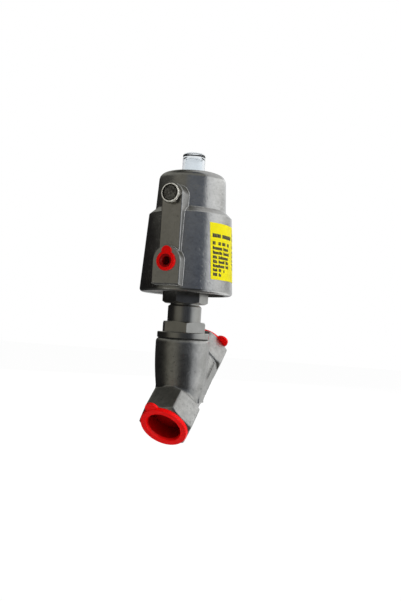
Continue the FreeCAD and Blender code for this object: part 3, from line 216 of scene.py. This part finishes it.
def cast_steel(name, dark, light, edge, rough, grain=0.5, pits=0.2, mottle=0.25, specks=0.2):
    """Blasted precision casting: cloudy mottled tone, fine grain, a few small pits, painted shade in tight corners,
    and bright edges and creases, partly wear and partly painted highlight.
    """
    material, graph, shader, place = new_material(name)
    clouds = graph.noise(place, CAST_CLOUDS, 4)
    grains = graph.noise(place, CAST_GRAINS, 2, 0.6)
    rounded = graph.soft_edges(edge)
    tone = graph.mix(graph.ramp(clouds, CLOUD_STOPS), dark, light)
    patches = graph.ramp(graph.noise(place, CAST_PATCHES, 4, 0.7), PATCH_STOPS)
    tone = graph.mix(graph.math("MULTIPLY", patches, mottle), tone, tuple(c * PATCH_SHADE for c in dark))
    spots = graph.ramp(graph.noise(place, CAST_SPECKS, 2), SPECK_STOPS)
    tone = graph.mix(graph.math("MULTIPLY", spots, specks), tone, tuple(c * SPECK_SHADE for c in dark))
    # Painted highlight on edges and in creases: a lighter, less metallic tone. On convex edges it is partly wear, in
    # concave creases only painted highlight.
    wear_and_highlight = graph.math("MULTIPLY", graph.edge_share(rounded), EDGE_WEAR_AND_HIGHLIGHT_SHARE)
    # Painted shade: the tone darkens in tight corners and creases of the piece.
    tone = graph.mix(graph.painted_corner_shade(CAVITY_REACH, 0), tuple(c * CAVITY_SHADE for c in dark), tone)
    tone = graph.mix(wear_and_highlight, tone, EDGE_WEAR_AND_HIGHLIGHT_TONE)
    graph.feed(shader.inputs["Base Color"], tone)
    graph.feed(shader.inputs["Roughness"], graph.ramp(clouds, [(0.25, rough), (0.75, rough + CAST_ROUGH_SPREAD)]))
    graph.feed(shader.inputs["Metallic"], graph.ramp(wear_and_highlight, [(0, 1), (1, EDGE_WEAR_AND_HIGHLIGHT_METAL)]))
    pores = graph.ramp(graph.noise(place, CAST_PORES, 1), PORE_STOPS)
    waves = graph.noise(place, CAST_WAVES, 2)
    normal = graph.bump(grains, grain, GRAIN_DEPTH, rounded)
    normal = graph.bump(waves, WAVE_STRENGTH, WAVE_DEPTH, normal)
    normal = graph.bump(pores, pits, PORE_DEPTH, normal)
    graph.feed(shader.inputs["Normal"], normal)
    return material


# Turned steel: the rings are noise stretched round the axis.
RING_SCALE = (60, 60, 4200)
RING_ROUGHNESS = 0.12
RING_DEPTH = 0.00005
TURNED_EDGE = 0.0003
TURNED_CLOUDS = 110
TURNED_GRAINS = 900
TURNED_GRAIN_DEPTH = 0.00006


def turned_steel(name, dark, light, rough=0.3, metallic=1):
    """Turned metal: fine rings round the part's long axis, faint stains."""
    material, graph, shader, place = new_material(name)
    scaled = graph.node("ShaderNodeMapping", Vector=place, Scale=RING_SCALE).outputs["Vector"]
    rings = graph.noise(scaled, 1, 3, 0.7)
    clouds = graph.noise(place, TURNED_CLOUDS, 4)
    graph.feed(shader.inputs["Base Color"], graph.mix(graph.ramp(clouds, CLOUD_STOPS), dark, light))
    roughness = graph.math("ADD", graph.math("MULTIPLY", rings, RING_ROUGHNESS), rough - RING_ROUGHNESS / 2)
    graph.feed(shader.inputs["Roughness"], roughness)
    shader.inputs["Metallic"].default_value = metallic
    normal = graph.bump(rings, 0.25, RING_DEPTH, graph.soft_edges(TURNED_EDGE))
    normal = graph.bump(graph.noise(place, TURNED_GRAINS, 2), 0.25, TURNED_GRAIN_DEPTH, normal)
    graph.feed(shader.inputs["Normal"], normal)
    return material


def moulded_plastic(name, deep, pale, rough=0.35, gloss=0.5, hollow=None, dish=0):
    """Moulded plastic: slight tone drift and orange-peel skin.

    It has painted shade inside a hollow (place, axis, radius), and a little painted shade within the radius of a
    shallow dish.
    """
    material, graph, shader, place = new_material(name)
    drift = graph.ramp(graph.noise(place, 70, 3), CLOUD_STOPS)
    tone = graph.mix(drift, deep, pale)
    if hollow:
        # Painted shade: the tone deepens inside the hollow, where the piece hides itself, and within the dish.
        outside = graph.math("GREATER_THAN", graph.distance_from_line(place, hollow[0], hollow[1]), hollow[2])
        shade = graph.math("MAXIMUM", graph.painted_corner_shade(HOLLOW_REACH, 0, HOLLOW_SAMPLES), outside)
        in_dish = graph.math("LESS_THAN", graph.distance_from_line(place, hollow[0], hollow[1]), dish)
        tone = graph.mix(in_dish, tone, tuple(part * DISH_SHADE for part in deep))
        tone = graph.mix(shade, tuple(part * HOLLOW_SHADE for part in deep), tone)
    graph.feed(shader.inputs["Base Color"], tone)
    skin = graph.noise(place, 240, 3)
    graph.feed(shader.inputs["Roughness"], graph.ramp(skin, [(0.3, rough - 0.06), (0.7, rough + 0.1)]))
    shader.inputs["Specular IOR Level"].default_value = gloss
    normal = graph.bump(graph.noise(place, 500, 2), 0.2, 0.0001)
    graph.feed(shader.inputs["Normal"], normal)
    return material


def clear_plastic(name):
    material, graph, shader, place = new_material(name)
    shader.inputs["Base Color"].default_value = (0.86, 0.90, 0.93, 1)
    shader.inputs["Transmission Weight"].default_value = 1
    shader.inputs["IOR"].default_value = 1.49
    graph.feed(shader.inputs["Roughness"], graph.ramp(graph.noise(place, 300, 3), [(0.4, 0.0), (0.8, 0.05)]))
    graph.feed(shader.inputs["Normal"], graph.bump(graph.noise(place, 120, 2), 0.12, 0.0003))
    return material


def silencer_metal():
    """Plated hexagon with a bright thin lip, and a dark ring of painted shade in place of the gap between the lip and
    the element.
    """
    material, graph, shader, place = new_material("silencer_metal")
    low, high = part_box("silencer_body")
    across = graph.distance_from_line(place, (0, 0, (low.z + high.z) / 2), (1, 0, 0))
    lip = graph.math("LESS_THAN", across, SILENCER_LIP)
    # Painted shade: a dark ring inside this radius stands in for the gap's shadow.
    gap_shade = graph.math("LESS_THAN", across, SILENCER_GAP_SHADE)
    clouds = graph.ramp(graph.noise(place, 500, 3), [(0.35, 0), (0.65, 1)])
    hexagon = graph.mix(clouds, (0.30, 0.29, 0.24), (0.50, 0.48, 0.42))
    facing = graph.node("ShaderNodeSeparateXYZ", Vector=graph.node("ShaderNodeNewGeometry").outputs["Normal"])
    lip = graph.math("MULTIPLY", lip, graph.math("LESS_THAN", facing.outputs["X"], -0.3))
    tone = graph.mix(lip, hexagon, graph.mix(clouds, (0.74, 0.72, 0.64), (0.95, 0.93, 0.86)))
    graph.feed(shader.inputs["Base Color"], graph.mix(gap_shade, tone, (0.012, 0.012, 0.008)))
    graph.feed(shader.inputs["Metallic"], graph.ramp(lip, [(0, 1), (1, 0.35)]))
    graph.feed(shader.inputs["Roughness"], graph.ramp(clouds, [(0, 0.18), (1, 0.3)]))
    graph.feed(shader.inputs["Normal"], graph.soft_edges(0.0004))
    return material


def sintered_bronze(name):
    """Open-grained sintered metal: packed round grains, with painted shade in the gaps between them."""
    material, graph, shader, place = new_material(name)
    grains = graph.node("ShaderNodeTexVoronoi", Vector=place, Scale=1500)
    near = grains.outputs["Distance"]
    tint = graph.ramp(graph.noise(place, 1200, 2), [(0.3, (0.06, 0.06, 0.05)), (0.7, (0.42, 0.41, 0.36))])
    # Painted shade in the gaps between the grains.
    pore_shade = graph.ramp(near, [(0.35, 0), (0.75, 1)])
    graph.feed(shader.inputs["Base Color"], graph.mix(pore_shade, tint, (0.02, 0.016, 0.012)))
    shader.inputs["Metallic"].default_value = 0.5
    shader.inputs["Roughness"].default_value = 0.55
    graph.feed(shader.inputs["Normal"], graph.bump(graph.math("SUBTRACT", 1, near), 1, 0.0004))
    return material


def soft_ring(name, deep, pale, rough):
    """Rubber, fibre or fluoroplastic: matt with a fine skin."""
    material, graph, shader, place = new_material(name)
    drift = graph.ramp(graph.noise(place, 250, 4), CLOUD_STOPS)
    graph.feed(shader.inputs["Base Color"], graph.mix(drift, deep, pale))
    graph.feed(shader.inputs["Roughness"], graph.ramp(graph.noise(place, 400, 2), [(0.3, rough - 0.1), (0.7, rough)]))
    graph.feed(shader.inputs["Normal"], graph.bump(graph.noise(place, 1400, 3), 0.35, 0.00008))
    return material


# Painted shades are shares of the deep tone, and reaches and radii are metres.
# Painted shade inside the plugs' hollows and dishes.
HOLLOW_SHADE = 0.2
HOLLOW_REACH = 0.03
HOLLOW_SAMPLES = 8
DISH_SHADE = 0.3
# Painted shade in the casting's tight corners: its reach and its share of the dark tone.
CAVITY_REACH = 0.006
CAVITY_SHADE = 0.4
# Edges and creases lightened, partly as wear and partly as painted highlight: share, tone and metallic.
EDGE_WEAR_AND_HIGHLIGHT_SHARE = 0.85
EDGE_WEAR_AND_HIGHLIGHT_TONE = (0.98, 0.98, 0.96)
EDGE_WEAR_AND_HIGHLIGHT_METAL = 0.35

SILENCER_LIP = 0.00775
# Radius within which the lip is painted dark as the gap's shade.
SILENCER_GAP_SHADE = 0.0067
RED_DEEP = (0.88, 0.0005, 0.0005)
RED_PALE = (0.98, 0.001, 0.001)
PIPE_ANGLE = math.radians(50)
PIPE_AXIS = (math.sin(PIPE_ANGLE), 0, math.cos(PIPE_ANGLE))
PIPE_HOLLOW = ((0, 0, 0), PIPE_AXIS, 0.0146)
AIR_HOLLOW_RADIUS = 0.0036
AIR_DISH_RADIUS = 0.0054
# The air plug's red is a darker copy of the pipe plugs' red: painted shade.
AIR_RED_WITH_PAINTED_SHADE = ((0.66, 0.0005, 0.0005), (0.80, 0.001, 0.001))

MATERIALS = {
    "body_casting": cast_steel("body_casting", (0.47, 0.465, 0.445), (0.63, 0.625, 0.605), 0.0012, 0.29,
                               grain=0.7, pits=0.25, mottle=0.3, specks=0.4),
    "housing_casting": cast_steel("housing_casting", (0.50, 0.495, 0.48), (0.60, 0.595, 0.58), 0.0008, 0.17,
                                  grain=0.4, pits=0.25, mottle=0.12, specks=0.22),
    "turned_steel": turned_steel("turned_steel", (0.42, 0.415, 0.39), (0.52, 0.515, 0.49)),
    "spring_steel": turned_steel("spring_steel", (0.40, 0.40, 0.39), (0.52, 0.52, 0.51), 0.34),
    "gasket_fibre": soft_ring("gasket_fibre", (0.012, 0.012, 0.012), (0.03, 0.03, 0.028), 0.8),
    "ptfe": soft_ring("ptfe", (0.78, 0.78, 0.74), (0.86, 0.86, 0.83), 0.5),
    "filled_ptfe": soft_ring("filled_ptfe", (0.05, 0.05, 0.05), (0.09, 0.09, 0.088), 0.55),
    "bronze": turned_steel("bronze", (0.46, 0.30, 0.14), (0.58, 0.40, 0.20), 0.36),
    "seal_rubber": soft_ring("seal_rubber", (0.012, 0.012, 0.013), (0.022, 0.022, 0.022), 0.6),
    "cast_aluminium": turned_steel("cast_aluminium", (0.50, 0.51, 0.52), (0.60, 0.61, 0.62), 0.38),
    "nickel_brass": turned_steel("nickel_brass", (0.88, 0.85, 0.76), (0.96, 0.93, 0.85), 0.2, 0.45),
    "sintered_bronze": sintered_bronze("sintered_bronze"),
    "red_plastic": moulded_plastic("red_plastic", RED_DEEP, RED_PALE, 0.34, 0.2),
    "label_film": moulded_plastic("label_film", (0.72, 0.63, 0.002), (0.78, 0.69, 0.003), 0.5, 0.15),
    "print_ink": moulded_plastic("print_ink", (0.012, 0.012, 0.01), (0.03, 0.03, 0.025), 0.6),
    "clear_plastic": clear_plastic("clear_plastic"),
    "indicator_plastic": moulded_plastic("indicator_plastic", (0.02, 0.02, 0.022), (0.035, 0.035, 0.038), 0.35),
}


def dress_cad_nodes():
    """Give each node the material of its slot in the record."""
    for entry in frame["record"]["subparts"]:
        node = nodes[entry["node"]]
        node.data.materials.clear()
        node.data.materials.append(MATERIALS[entry["material_slot"]])
    pipe_plug = moulded_plastic("pipe_plug_red", RED_DEEP, RED_PALE, 0.34, 0.2, PIPE_HOLLOW)
    for name in ("inlet_plug", "outlet_plug"):
        nodes[name].data.materials[0] = pipe_plug
    nodes["silencer_body"].data.materials[0] = silencer_metal()
    low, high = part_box("air_port_plug")
    air_hollow = ((0, 0, low.z + (high.y - low.y) / 2), (1, 0, 0), AIR_HOLLOW_RADIUS)
    air_plug = moulded_plastic("air_plug_red", *AIR_RED_WITH_PAINTED_SHADE, 0.34, 0.2, air_hollow, AIR_DISH_RADIUS)
    nodes["air_port_plug"].data.materials[0] = air_plug


LABEL_THICKNESS = 0.0002
LABEL_STEPS = 48
LABEL_LEVELS = 10
LABEL_MARGIN = 0.0022
LABEL_INK = 0.00003
LABEL_LEVEL_REACH = 0.0001
# Rows of plain blocks in place of print: share of the height, block height, pitch, then tall and low blocks.
LABEL_ROWS = (
    (0.86, 0.0022, 0.0017, "                  #### ####"),
    (0.775, 0.0031, 0.0018, "##### ########   ## ######"),
    (0.640, 0.0027, 0.0015, "##  ## ###  ##      #xx#x xxx"),
    (0.555, 0.0027, 0.0015, "#xxxxxx #xxxx       #xx xx#"),
    (0.475, 0.0027, 0.0015, "#xxxx#x #xxxx#      ## #xx"),
    (0.395, 0.0027, 0.0015, "##x #x#xxxxxx       #xx# xxx##"),
    (0.318, 0.0027, 0.0015, "##x #xxx# ##x       ### #x"),
    (0.243, 0.0027, 0.0015, "#xxx#xxxx #x#       #xxxx xx"),
    (0.168, 0.0025, 0.0015, "#x# ##  x"),
    (0.090, 0.0027, 0.0015, "### #x"),
)
LOW_BLOCK = 0.78
BLOCK_SHARE = 0.9


class LabelSheet:
    """The place of the label: a rectangular sheet laid round the drafted drum."""

    def __init__(self):
        self.axis = stem_axis()
        self.low, self.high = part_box("label")
        points = [vertex.co for vertex in nodes["label"].data.vertices]
        angles = [math.atan2(point.y - self.axis[1], point.x - self.axis[0]) for point in points]
        self.foot = self.outer(points, self.low.z)
        self.top = self.outer(points, self.high.z)
        self.middle = (min(angles) + max(angles)) / 2
        self.width = (max(angles) - min(angles)) * (self.foot + self.top) / 2

    def outer(self, points, level):
        """The largest radius of the CAD label's points at a level."""
        near = [point for point in points if abs(point.z - level) < LABEL_LEVEL_REACH]
        return max(math.hypot(point.x - self.axis[0], point.y - self.axis[1]) for point in near)

    def point(self, across, level, lift=0):
        """A point on the sheet: metres from its left edge, height in the part's frame, lift off its face."""
        share = (level - self.low.z) / (self.high.z - self.low.z)
        radius = self.foot + (self.top - self.foot) * share
        angle = self.middle + (across - self.width / 2) / radius
        radius += lift
        return self.axis[0] + radius * math.cos(angle), self.axis[1] + radius * math.sin(angle), level

    def slab(self, mesh, sides, levels, back, front):
        """A closed slab between two lifts, over a grid of places across and levels."""
        layers = [[[mesh.verts.new(self.point(x, z, lift)) for z in levels] for x in sides] for lift in (back, front)]
        last_side, last_level = len(sides) - 1, len(levels) - 1
        for layer in layers:
            for i in range(last_side):
                for k in range(last_level):
                    mesh.faces.new((layer[i][k], layer[i + 1][k], layer[i + 1][k + 1], layer[i][k + 1]))
        under, over = layers
        for i in range(last_side):
            for k in (0, last_level):
                mesh.faces.new((under[i][k], under[i + 1][k], over[i + 1][k], over[i][k]))
        for k in range(last_level):
            for i in (0, last_side):
                mesh.faces.new((under[i][k], under[i][k + 1], over[i][k + 1], over[i][k]))


def spread(start, end, count):
    return [start + (end - start) * step / count for step in range(count + 1)]


def label_sheet():
    """The yellow label, cut square and wrapped round the drafted drum."""
    sheet = LabelSheet()
    mesh = bmesh.new()
    sides = spread(0, sheet.width, LABEL_STEPS)
    levels = spread(sheet.low.z, sheet.high.z, LABEL_LEVELS)
    sheet.slab(mesh, sides, levels, -LABEL_THICKNESS, 0)
    bmesh.ops.recalc_face_normals(mesh, faces=mesh.faces)
    piece = add_piece("label_sheet", mesh, MATERIALS["label_film"], "actuator")
    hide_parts("label")


def label_print():
    """Rows of plain dark blocks in place of print, just proud of the label."""
    sheet = LabelSheet()
    mesh = bmesh.new()
    height = sheet.high.z - sheet.low.z
    for share, tall, pitch, blocks in LABEL_ROWS:
        bottom = sheet.low.z + share * height - tall / 2
        for number, block in enumerate(blocks):
            if block == " ":
                continue
            start = LABEL_MARGIN + number * pitch
            rise = tall if block == "#" else tall * LOW_BLOCK
            sides = spread(start, start + pitch * BLOCK_SHARE, 1)
            sheet.slab(mesh, sides, (bottom, bottom + rise), -LABEL_INK, LABEL_INK)
    bmesh.ops.recalc_face_normals(mesh, faces=mesh.faces)
    add_piece("label_print", mesh, MATERIALS["print_ink"], "actuator")


GRAIN = 0.00055
GRAIN_COUNT = 420
GOLDEN_ANGLE = math.pi * (3 - math.sqrt(5))
DISC_RINGS = 60
DISC_SECTORS = 240
GRAIN_SHARE = 0.62
GRAIN_WOBBLE = 0.35
GRAIN_HOLLOW = 0.6
WOBBLE_STEP = (0.37, 0.11)
MERGE_DISTANCE = 0.000002


def sintered_disc():
    """The silencer's element: a disc of packed round grains inside the silencer's body."""
    low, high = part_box("silencer_element")
    middle = (low + high) / 2
    radius = (high.y - low.y) / 2
    face = low.x
    seeds = kdtree.KDTree(GRAIN_COUNT)
    for number in range(GRAIN_COUNT):
        out = radius * math.sqrt((number + 0.5) / GRAIN_COUNT)
        turn = number * GOLDEN_ANGLE
        wobble = noise.noise_vector((number * WOBBLE_STEP[0], number * WOBBLE_STEP[1], 0)) * GRAIN * GRAIN_WOBBLE
        seeds.insert((out * math.cos(turn) + wobble.x, out * math.sin(turn) + wobble.y, wobble.z), number)
    seeds.balance()
    mesh = bmesh.new()
    rings = []
    for step in range(DISC_RINGS + 1):
        out = radius * step / DISC_RINGS
        ring = []
        for part in range(DISC_SECTORS):
            turn = 2 * math.pi * part / DISC_SECTORS
            place = Vector((out * math.cos(turn), out * math.sin(turn), 0))
            distance = seeds.find(place)[2]
            dome = math.sqrt(max(0, 1 - (distance / (GRAIN * GRAIN_SHARE)) ** 2))
            depth = GRAIN if step == DISC_RINGS else GRAIN * (1 - dome) * GRAIN_HOLLOW
            ring.append(mesh.verts.new((face + depth, middle.y + place.x, middle.z + place.y)))
        rings.append(ring)
    rings.append([mesh.verts.new((high.x, vertex.co.y, vertex.co.z)) for vertex in rings[-1]])
    for inner, outer in zip(rings, rings[1:]):
        for part in range(DISC_SECTORS):
            after = (part + 1) % DISC_SECTORS
            mesh.faces.new((inner[part], inner[after], outer[after], outer[part]))
    mesh.faces.new(reversed(rings[-1]))
    bmesh.ops.remove_doubles(mesh, verts=mesh.verts, dist=MERGE_DISTANCE)
    bmesh.ops.recalc_face_normals(mesh, faces=mesh.faces)
    piece = add_piece("sintered_disc", mesh, MATERIALS["sintered_bronze"], "actuator")
    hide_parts("silencer_element")
    for face in piece.data.polygons:
        face.use_smooth = True


def compress_springs():
    """Copies of the springs named as deforming nodes of the stem slide, as pieces on the actuator in place of the CAD
    springs.
    """
    slide = next(joint for joint in frame["record"]["behaviour"]["joints"] if joint["name"] == "stem_slide")
    for entry in slide["deforming_nodes"]:
        name, seat = entry["node"], entry["fixed_end_z_m"]
        mesh = bmesh.new()
        mesh.from_mesh(nodes[name].data)
        piece = add_piece(name + "_coils", mesh, MATERIALS["spring_steel"], "actuator")
        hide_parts(name)
        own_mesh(piece)


SKIN_VOXEL = 0.0008
SKIN_ROUNDS = 5
SKIN_SOFTNESS = 0.5


def cast_skin():
    """The body with its edges and creases rounded as a casting's are, made on a copy of the CAD mesh."""
    copy = bpy.data.meshes.new_from_object(nodes["valve_body"])
    draft = bpy.data.objects.new("cast_draft", copy)
    bpy.context.scene.collection.objects.link(draft)
    remesh = draft.modifiers.new("remesh", "REMESH")
    remesh.mode = "VOXEL"
    remesh.voxel_size = SKIN_VOXEL
    remesh.use_smooth_shade = True
    smooth = draft.modifiers.new("smooth", "SMOOTH")
    smooth.factor = SKIN_SOFTNESS
    smooth.iterations = SKIN_ROUNDS
    rounded = bpy.data.meshes.new_from_object(draft.evaluated_get(bpy.context.evaluated_depsgraph_get()))
    mesh = bmesh.new()
    mesh.from_mesh(rounded)
    bpy.data.objects.remove(draft)
    bpy.data.meshes.remove(copy)
    bpy.data.meshes.remove(rounded)
    piece = add_piece("cast_body", mesh, MATERIALS["body_casting"], "root")
    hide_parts("valve_body")


def stem_axis():
    """Where the stem's axis stands: the middle of the housing's base."""
    low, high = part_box("actuator_base")
    return (low.x + high.x) / 2, (low.y + high.y) / 2


def add_piece(name, mesh, material, body):
    """Turn a bmesh into a named piece that rides on a body."""
    data = bpy.data.meshes.new(name)
    mesh.to_mesh(data)
    mesh.free()
    data.materials.append(material)
    piece = bpy.data.objects.new(name, data)
    bpy.context.scene.collection.objects.link(piece)
    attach(piece, body)
    return piece


def set_camera():
    heading = math.radians(CAMERA_HEADING)
    pitch = math.radians(CAMERA_PITCH)
    roll = math.radians(CAMERA_ROLL)
    forward = Vector((math.cos(heading) * math.cos(pitch), math.sin(heading) * math.cos(pitch), math.sin(pitch)))
    level = forward.cross(Vector((0, 0, 1))).normalized()
    upright = level.cross(forward)
    right = level * math.cos(roll) + upright * math.sin(roll)
    up = upright * math.cos(roll) - level * math.sin(roll)
    data = bpy.data.cameras.new("camera")
    data.sensor_width = CAMERA_SENSOR
    data.lens = CAMERA_SENSOR * CAMERA_FOCAL_IN_IMAGE_HEIGHTS
    camera = bpy.data.objects.new("camera", data)
    turn = Matrix((right, up, -forward)).transposed().to_4x4()
    camera.matrix_world = Matrix.Translation(CAMERA_PLACE) @ turn
    bpy.context.scene.collection.objects.link(camera)
    bpy.context.scene.camera = camera


# The studio. Directions are compass angles round the part, from +X towards +Y. The camera stands at 202.

# Each wall row: compass share of a full turn, then the colour low down, level with the camera's aim, and high up.
ROOM_WALLS = (
    (0.00, (0.70, 0.71, 0.72), (0.80, 0.81, 0.82), (1.30, 1.32, 1.33)),
    (0.06, (0.30, 0.30, 0.30), (0.45, 0.45, 0.45), (0.55, 0.55, 0.55)),
    (0.11, (0.015, 0.015, 0.015), (0.015, 0.015, 0.015), (0.09, 0.09, 0.08)),
    (0.34, (0.015, 0.015, 0.015), (0.012, 0.010, 0.010), (0.10, 0.10, 0.09)),
    (0.41, (0.17, 0.165, 0.14), (0.21, 0.20, 0.17), (0.19, 0.185, 0.16)),
    (0.49, (0.18, 0.175, 0.15), (0.21, 0.20, 0.17), (0.19, 0.185, 0.16)),
    (0.54, (0.03, 0.03, 0.03), (0.13, 0.135, 0.15), (0.18, 0.20, 0.24)),
    (0.672, (0.008, 0.009, 0.011), (0.10, 0.115, 0.15), (0.15, 0.17, 0.21)),
    (0.728, (0.50, 0.52, 0.55), (0.80, 0.83, 0.86), (1.15, 1.17, 1.19)),
    (0.80, (0.72, 0.73, 0.74), (0.84, 0.86, 0.87), (1.26, 1.28, 1.29)),
    (0.90, (0.68, 0.69, 0.69), (0.46, 0.47, 0.47), (1.36, 1.37, 1.37)),
    (1.00, (0.70, 0.71, 0.72), (0.80, 0.81, 0.82), (1.30, 1.32, 1.33)),
)
LOW_TO_LEVEL = ((0.03, 0), (0.12, 1))
LEVEL_TO_HIGH = ((0.20, 0), (0.30, 1))
ROOF_FADE = ((0.33, 1), (0.45, 0.5))
FLOOR_GLEAM = ((0.26, 0), (0.42, 1))
FLOOR_GLEAM_GAIN = 0.7

CEILING = (0.26, 0.26, 0.235)
CEILING_BANDS = [(0.32, 0), (0.45, 1), (0.7, 1), (0.86, 0), (0.93, 0), (0.99, 1)]
GROUND = (0.10, 0.10, 0.095)
GROUND_STOPS = ((0.5, 0), (0.85, 1))
WHITE_THROUGH_GLASS = 0.8


def set_studio():
    """A dim room whose one side is a wide soft light, seen as plain white by the camera and through glass."""
    world = bpy.data.worlds.new("studio")
    world.use_nodes = True
    world.node_tree.nodes.clear()
    graph = Graph(world.node_tree)
    direction = graph.node("ShaderNodeTexCoord").outputs["Generated"]
    axes = graph.node("ShaderNodeSeparateXYZ", Vector=direction)
    compass = graph.math("ARCTAN2", axes.outputs["Y"], axes.outputs["X"])
    turn = graph.math("FRACT", graph.math("ADD", graph.math("DIVIDE", compass, 2 * math.pi), 1))
    rows = [graph.ramp(turn, [(stop[0], stop[level]) for stop in ROOM_WALLS], "EASE") for level in (1, 2, 3)]
    lower = graph.mix(graph.ramp(axes.outputs["Z"], LOW_TO_LEVEL, "EASE"), rows[0], rows[1])
    walls = graph.mix(graph.ramp(axes.outputs["Z"], LEVEL_TO_HIGH, "EASE"), lower, rows[2])
    roof = graph.ramp(axes.outputs["Z"], ROOF_FADE, "EASE")
    gleam = graph.ramp(graph.math("MULTIPLY", axes.outputs["Z"], -1), FLOOR_GLEAM, "EASE")
    gain = graph.math("ADD", graph.math("MULTIPLY", gleam, FLOOR_GLEAM_GAIN), roof)
    brighter = graph.node("ShaderNodeVectorMath", {"operation": "SCALE"}, Scale=gain)
    graph.feed(brighter.inputs[0], walls)
    walls = brighter.outputs["Vector"]
    above = graph.ramp(axes.outputs["Z"], CEILING_BANDS, "EASE")
    ceiling = graph.mix(above, (0, 0, 0), CEILING)
    below = graph.ramp(graph.math("MULTIPLY", axes.outputs["Z"], -1), GROUND_STOPS, "EASE")
    lightest = graph.node("ShaderNodeVectorMath", {"operation": "MAXIMUM"})
    graph.feed(lightest.inputs[0], walls)
    graph.feed(lightest.inputs[1], ceiling)
    room = graph.mix(below, lightest.outputs["Vector"], GROUND)
    rays = graph.node("ShaderNodeLightPath").outputs
    through = graph.math("MULTIPLY", rays["Is Transmission Ray"], WHITE_THROUGH_GLASS)
    seen = graph.math("MAXIMUM", rays["Is Camera Ray"], through)
    colour = graph.mix(seen, room, (1.0, 1.0, 1.0))
    background = graph.node("ShaderNodeBackground", Color=colour, Strength=1)
    output = graph.node("ShaderNodeOutputWorld")
    graph.feed(output.inputs["Surface"], background.outputs["Background"])
    bpy.context.scene.world = world


def set_floor():
    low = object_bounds()[0].z - FLOOR_DROP
    bpy.ops.mesh.primitive_plane_add(size=FLOOR_SIZE, location=(0, 0, low))
    floor = bpy.context.object
    floor.name = "floor"
    material = bpy.data.materials.new("floor")
    material.use_nodes = True
    material.node_tree.nodes.clear()
    graph = Graph(material.node_tree)
    paper = graph.node("ShaderNodeBsdfDiffuse", Color=FLOOR_PAPER)
    white = graph.node("ShaderNodeEmission", Color=(1, 1, 1, 1), Strength=FLOOR_WHITE)
    rays = graph.node("ShaderNodeLightPath").outputs
    seen = graph.math("MAXIMUM", rays["Is Camera Ray"], rays["Is Transmission Ray"])
    blend = graph.node("ShaderNodeMixShader", Fac=graph.math("MULTIPLY", seen, FLOOR_SHARE))
    graph.feed(blend.inputs[1], paper.outputs["BSDF"])
    graph.feed(blend.inputs[2], white.outputs["Emission"])
    output = graph.node("ShaderNodeOutputMaterial")
    graph.feed(output.inputs["Surface"], blend.outputs["Shader"])
    floor.data.materials.append(material)
    floor.visible_glossy = False


# Name, place, aim, size in metres and power in watts.
LAMPS = (
    ("low_fill", (-0.5, -0.9, -0.12), (0, 0, 0.06), 0.6, 11),
    ("side_fill", (-0.1, -1.0, 0.5), (0, 0, 0.1), 0.9, 3),
    ("back_fill", (0.9, 0.6, 0.5), (0, 0, 0.1), 0.9, 6),
    ("front_fill", (-0.9, -0.75, 0.1), (0, 0, 0.06), 0.5, 2),
)


def set_lamps():
    """Soft fill for the matt plastics. The metal only mirrors the room, so the lamps don't show in it."""
    for name, place, aim, size, power in LAMPS:
        data = bpy.data.lights.new(name, "AREA")
        data.size = size
        data.energy = power
        lamp = bpy.data.objects.new(name, data)
        lamp.location = place
        lamp.rotation_euler = (Vector(aim) - Vector(place)).to_track_quat("-Z", "Y").to_euler()
        lamp.visible_glossy = False
        lamp.visible_transmission = False
        bpy.context.scene.collection.objects.link(lamp)


dress_cad_nodes()
cast_skin()
compress_springs()
label_sheet()
label_print()
sintered_disc()
set_camera()
set_studio()
set_floor()
set_lamps()
bpy.context.scene.view_settings.view_transform = "Standard"
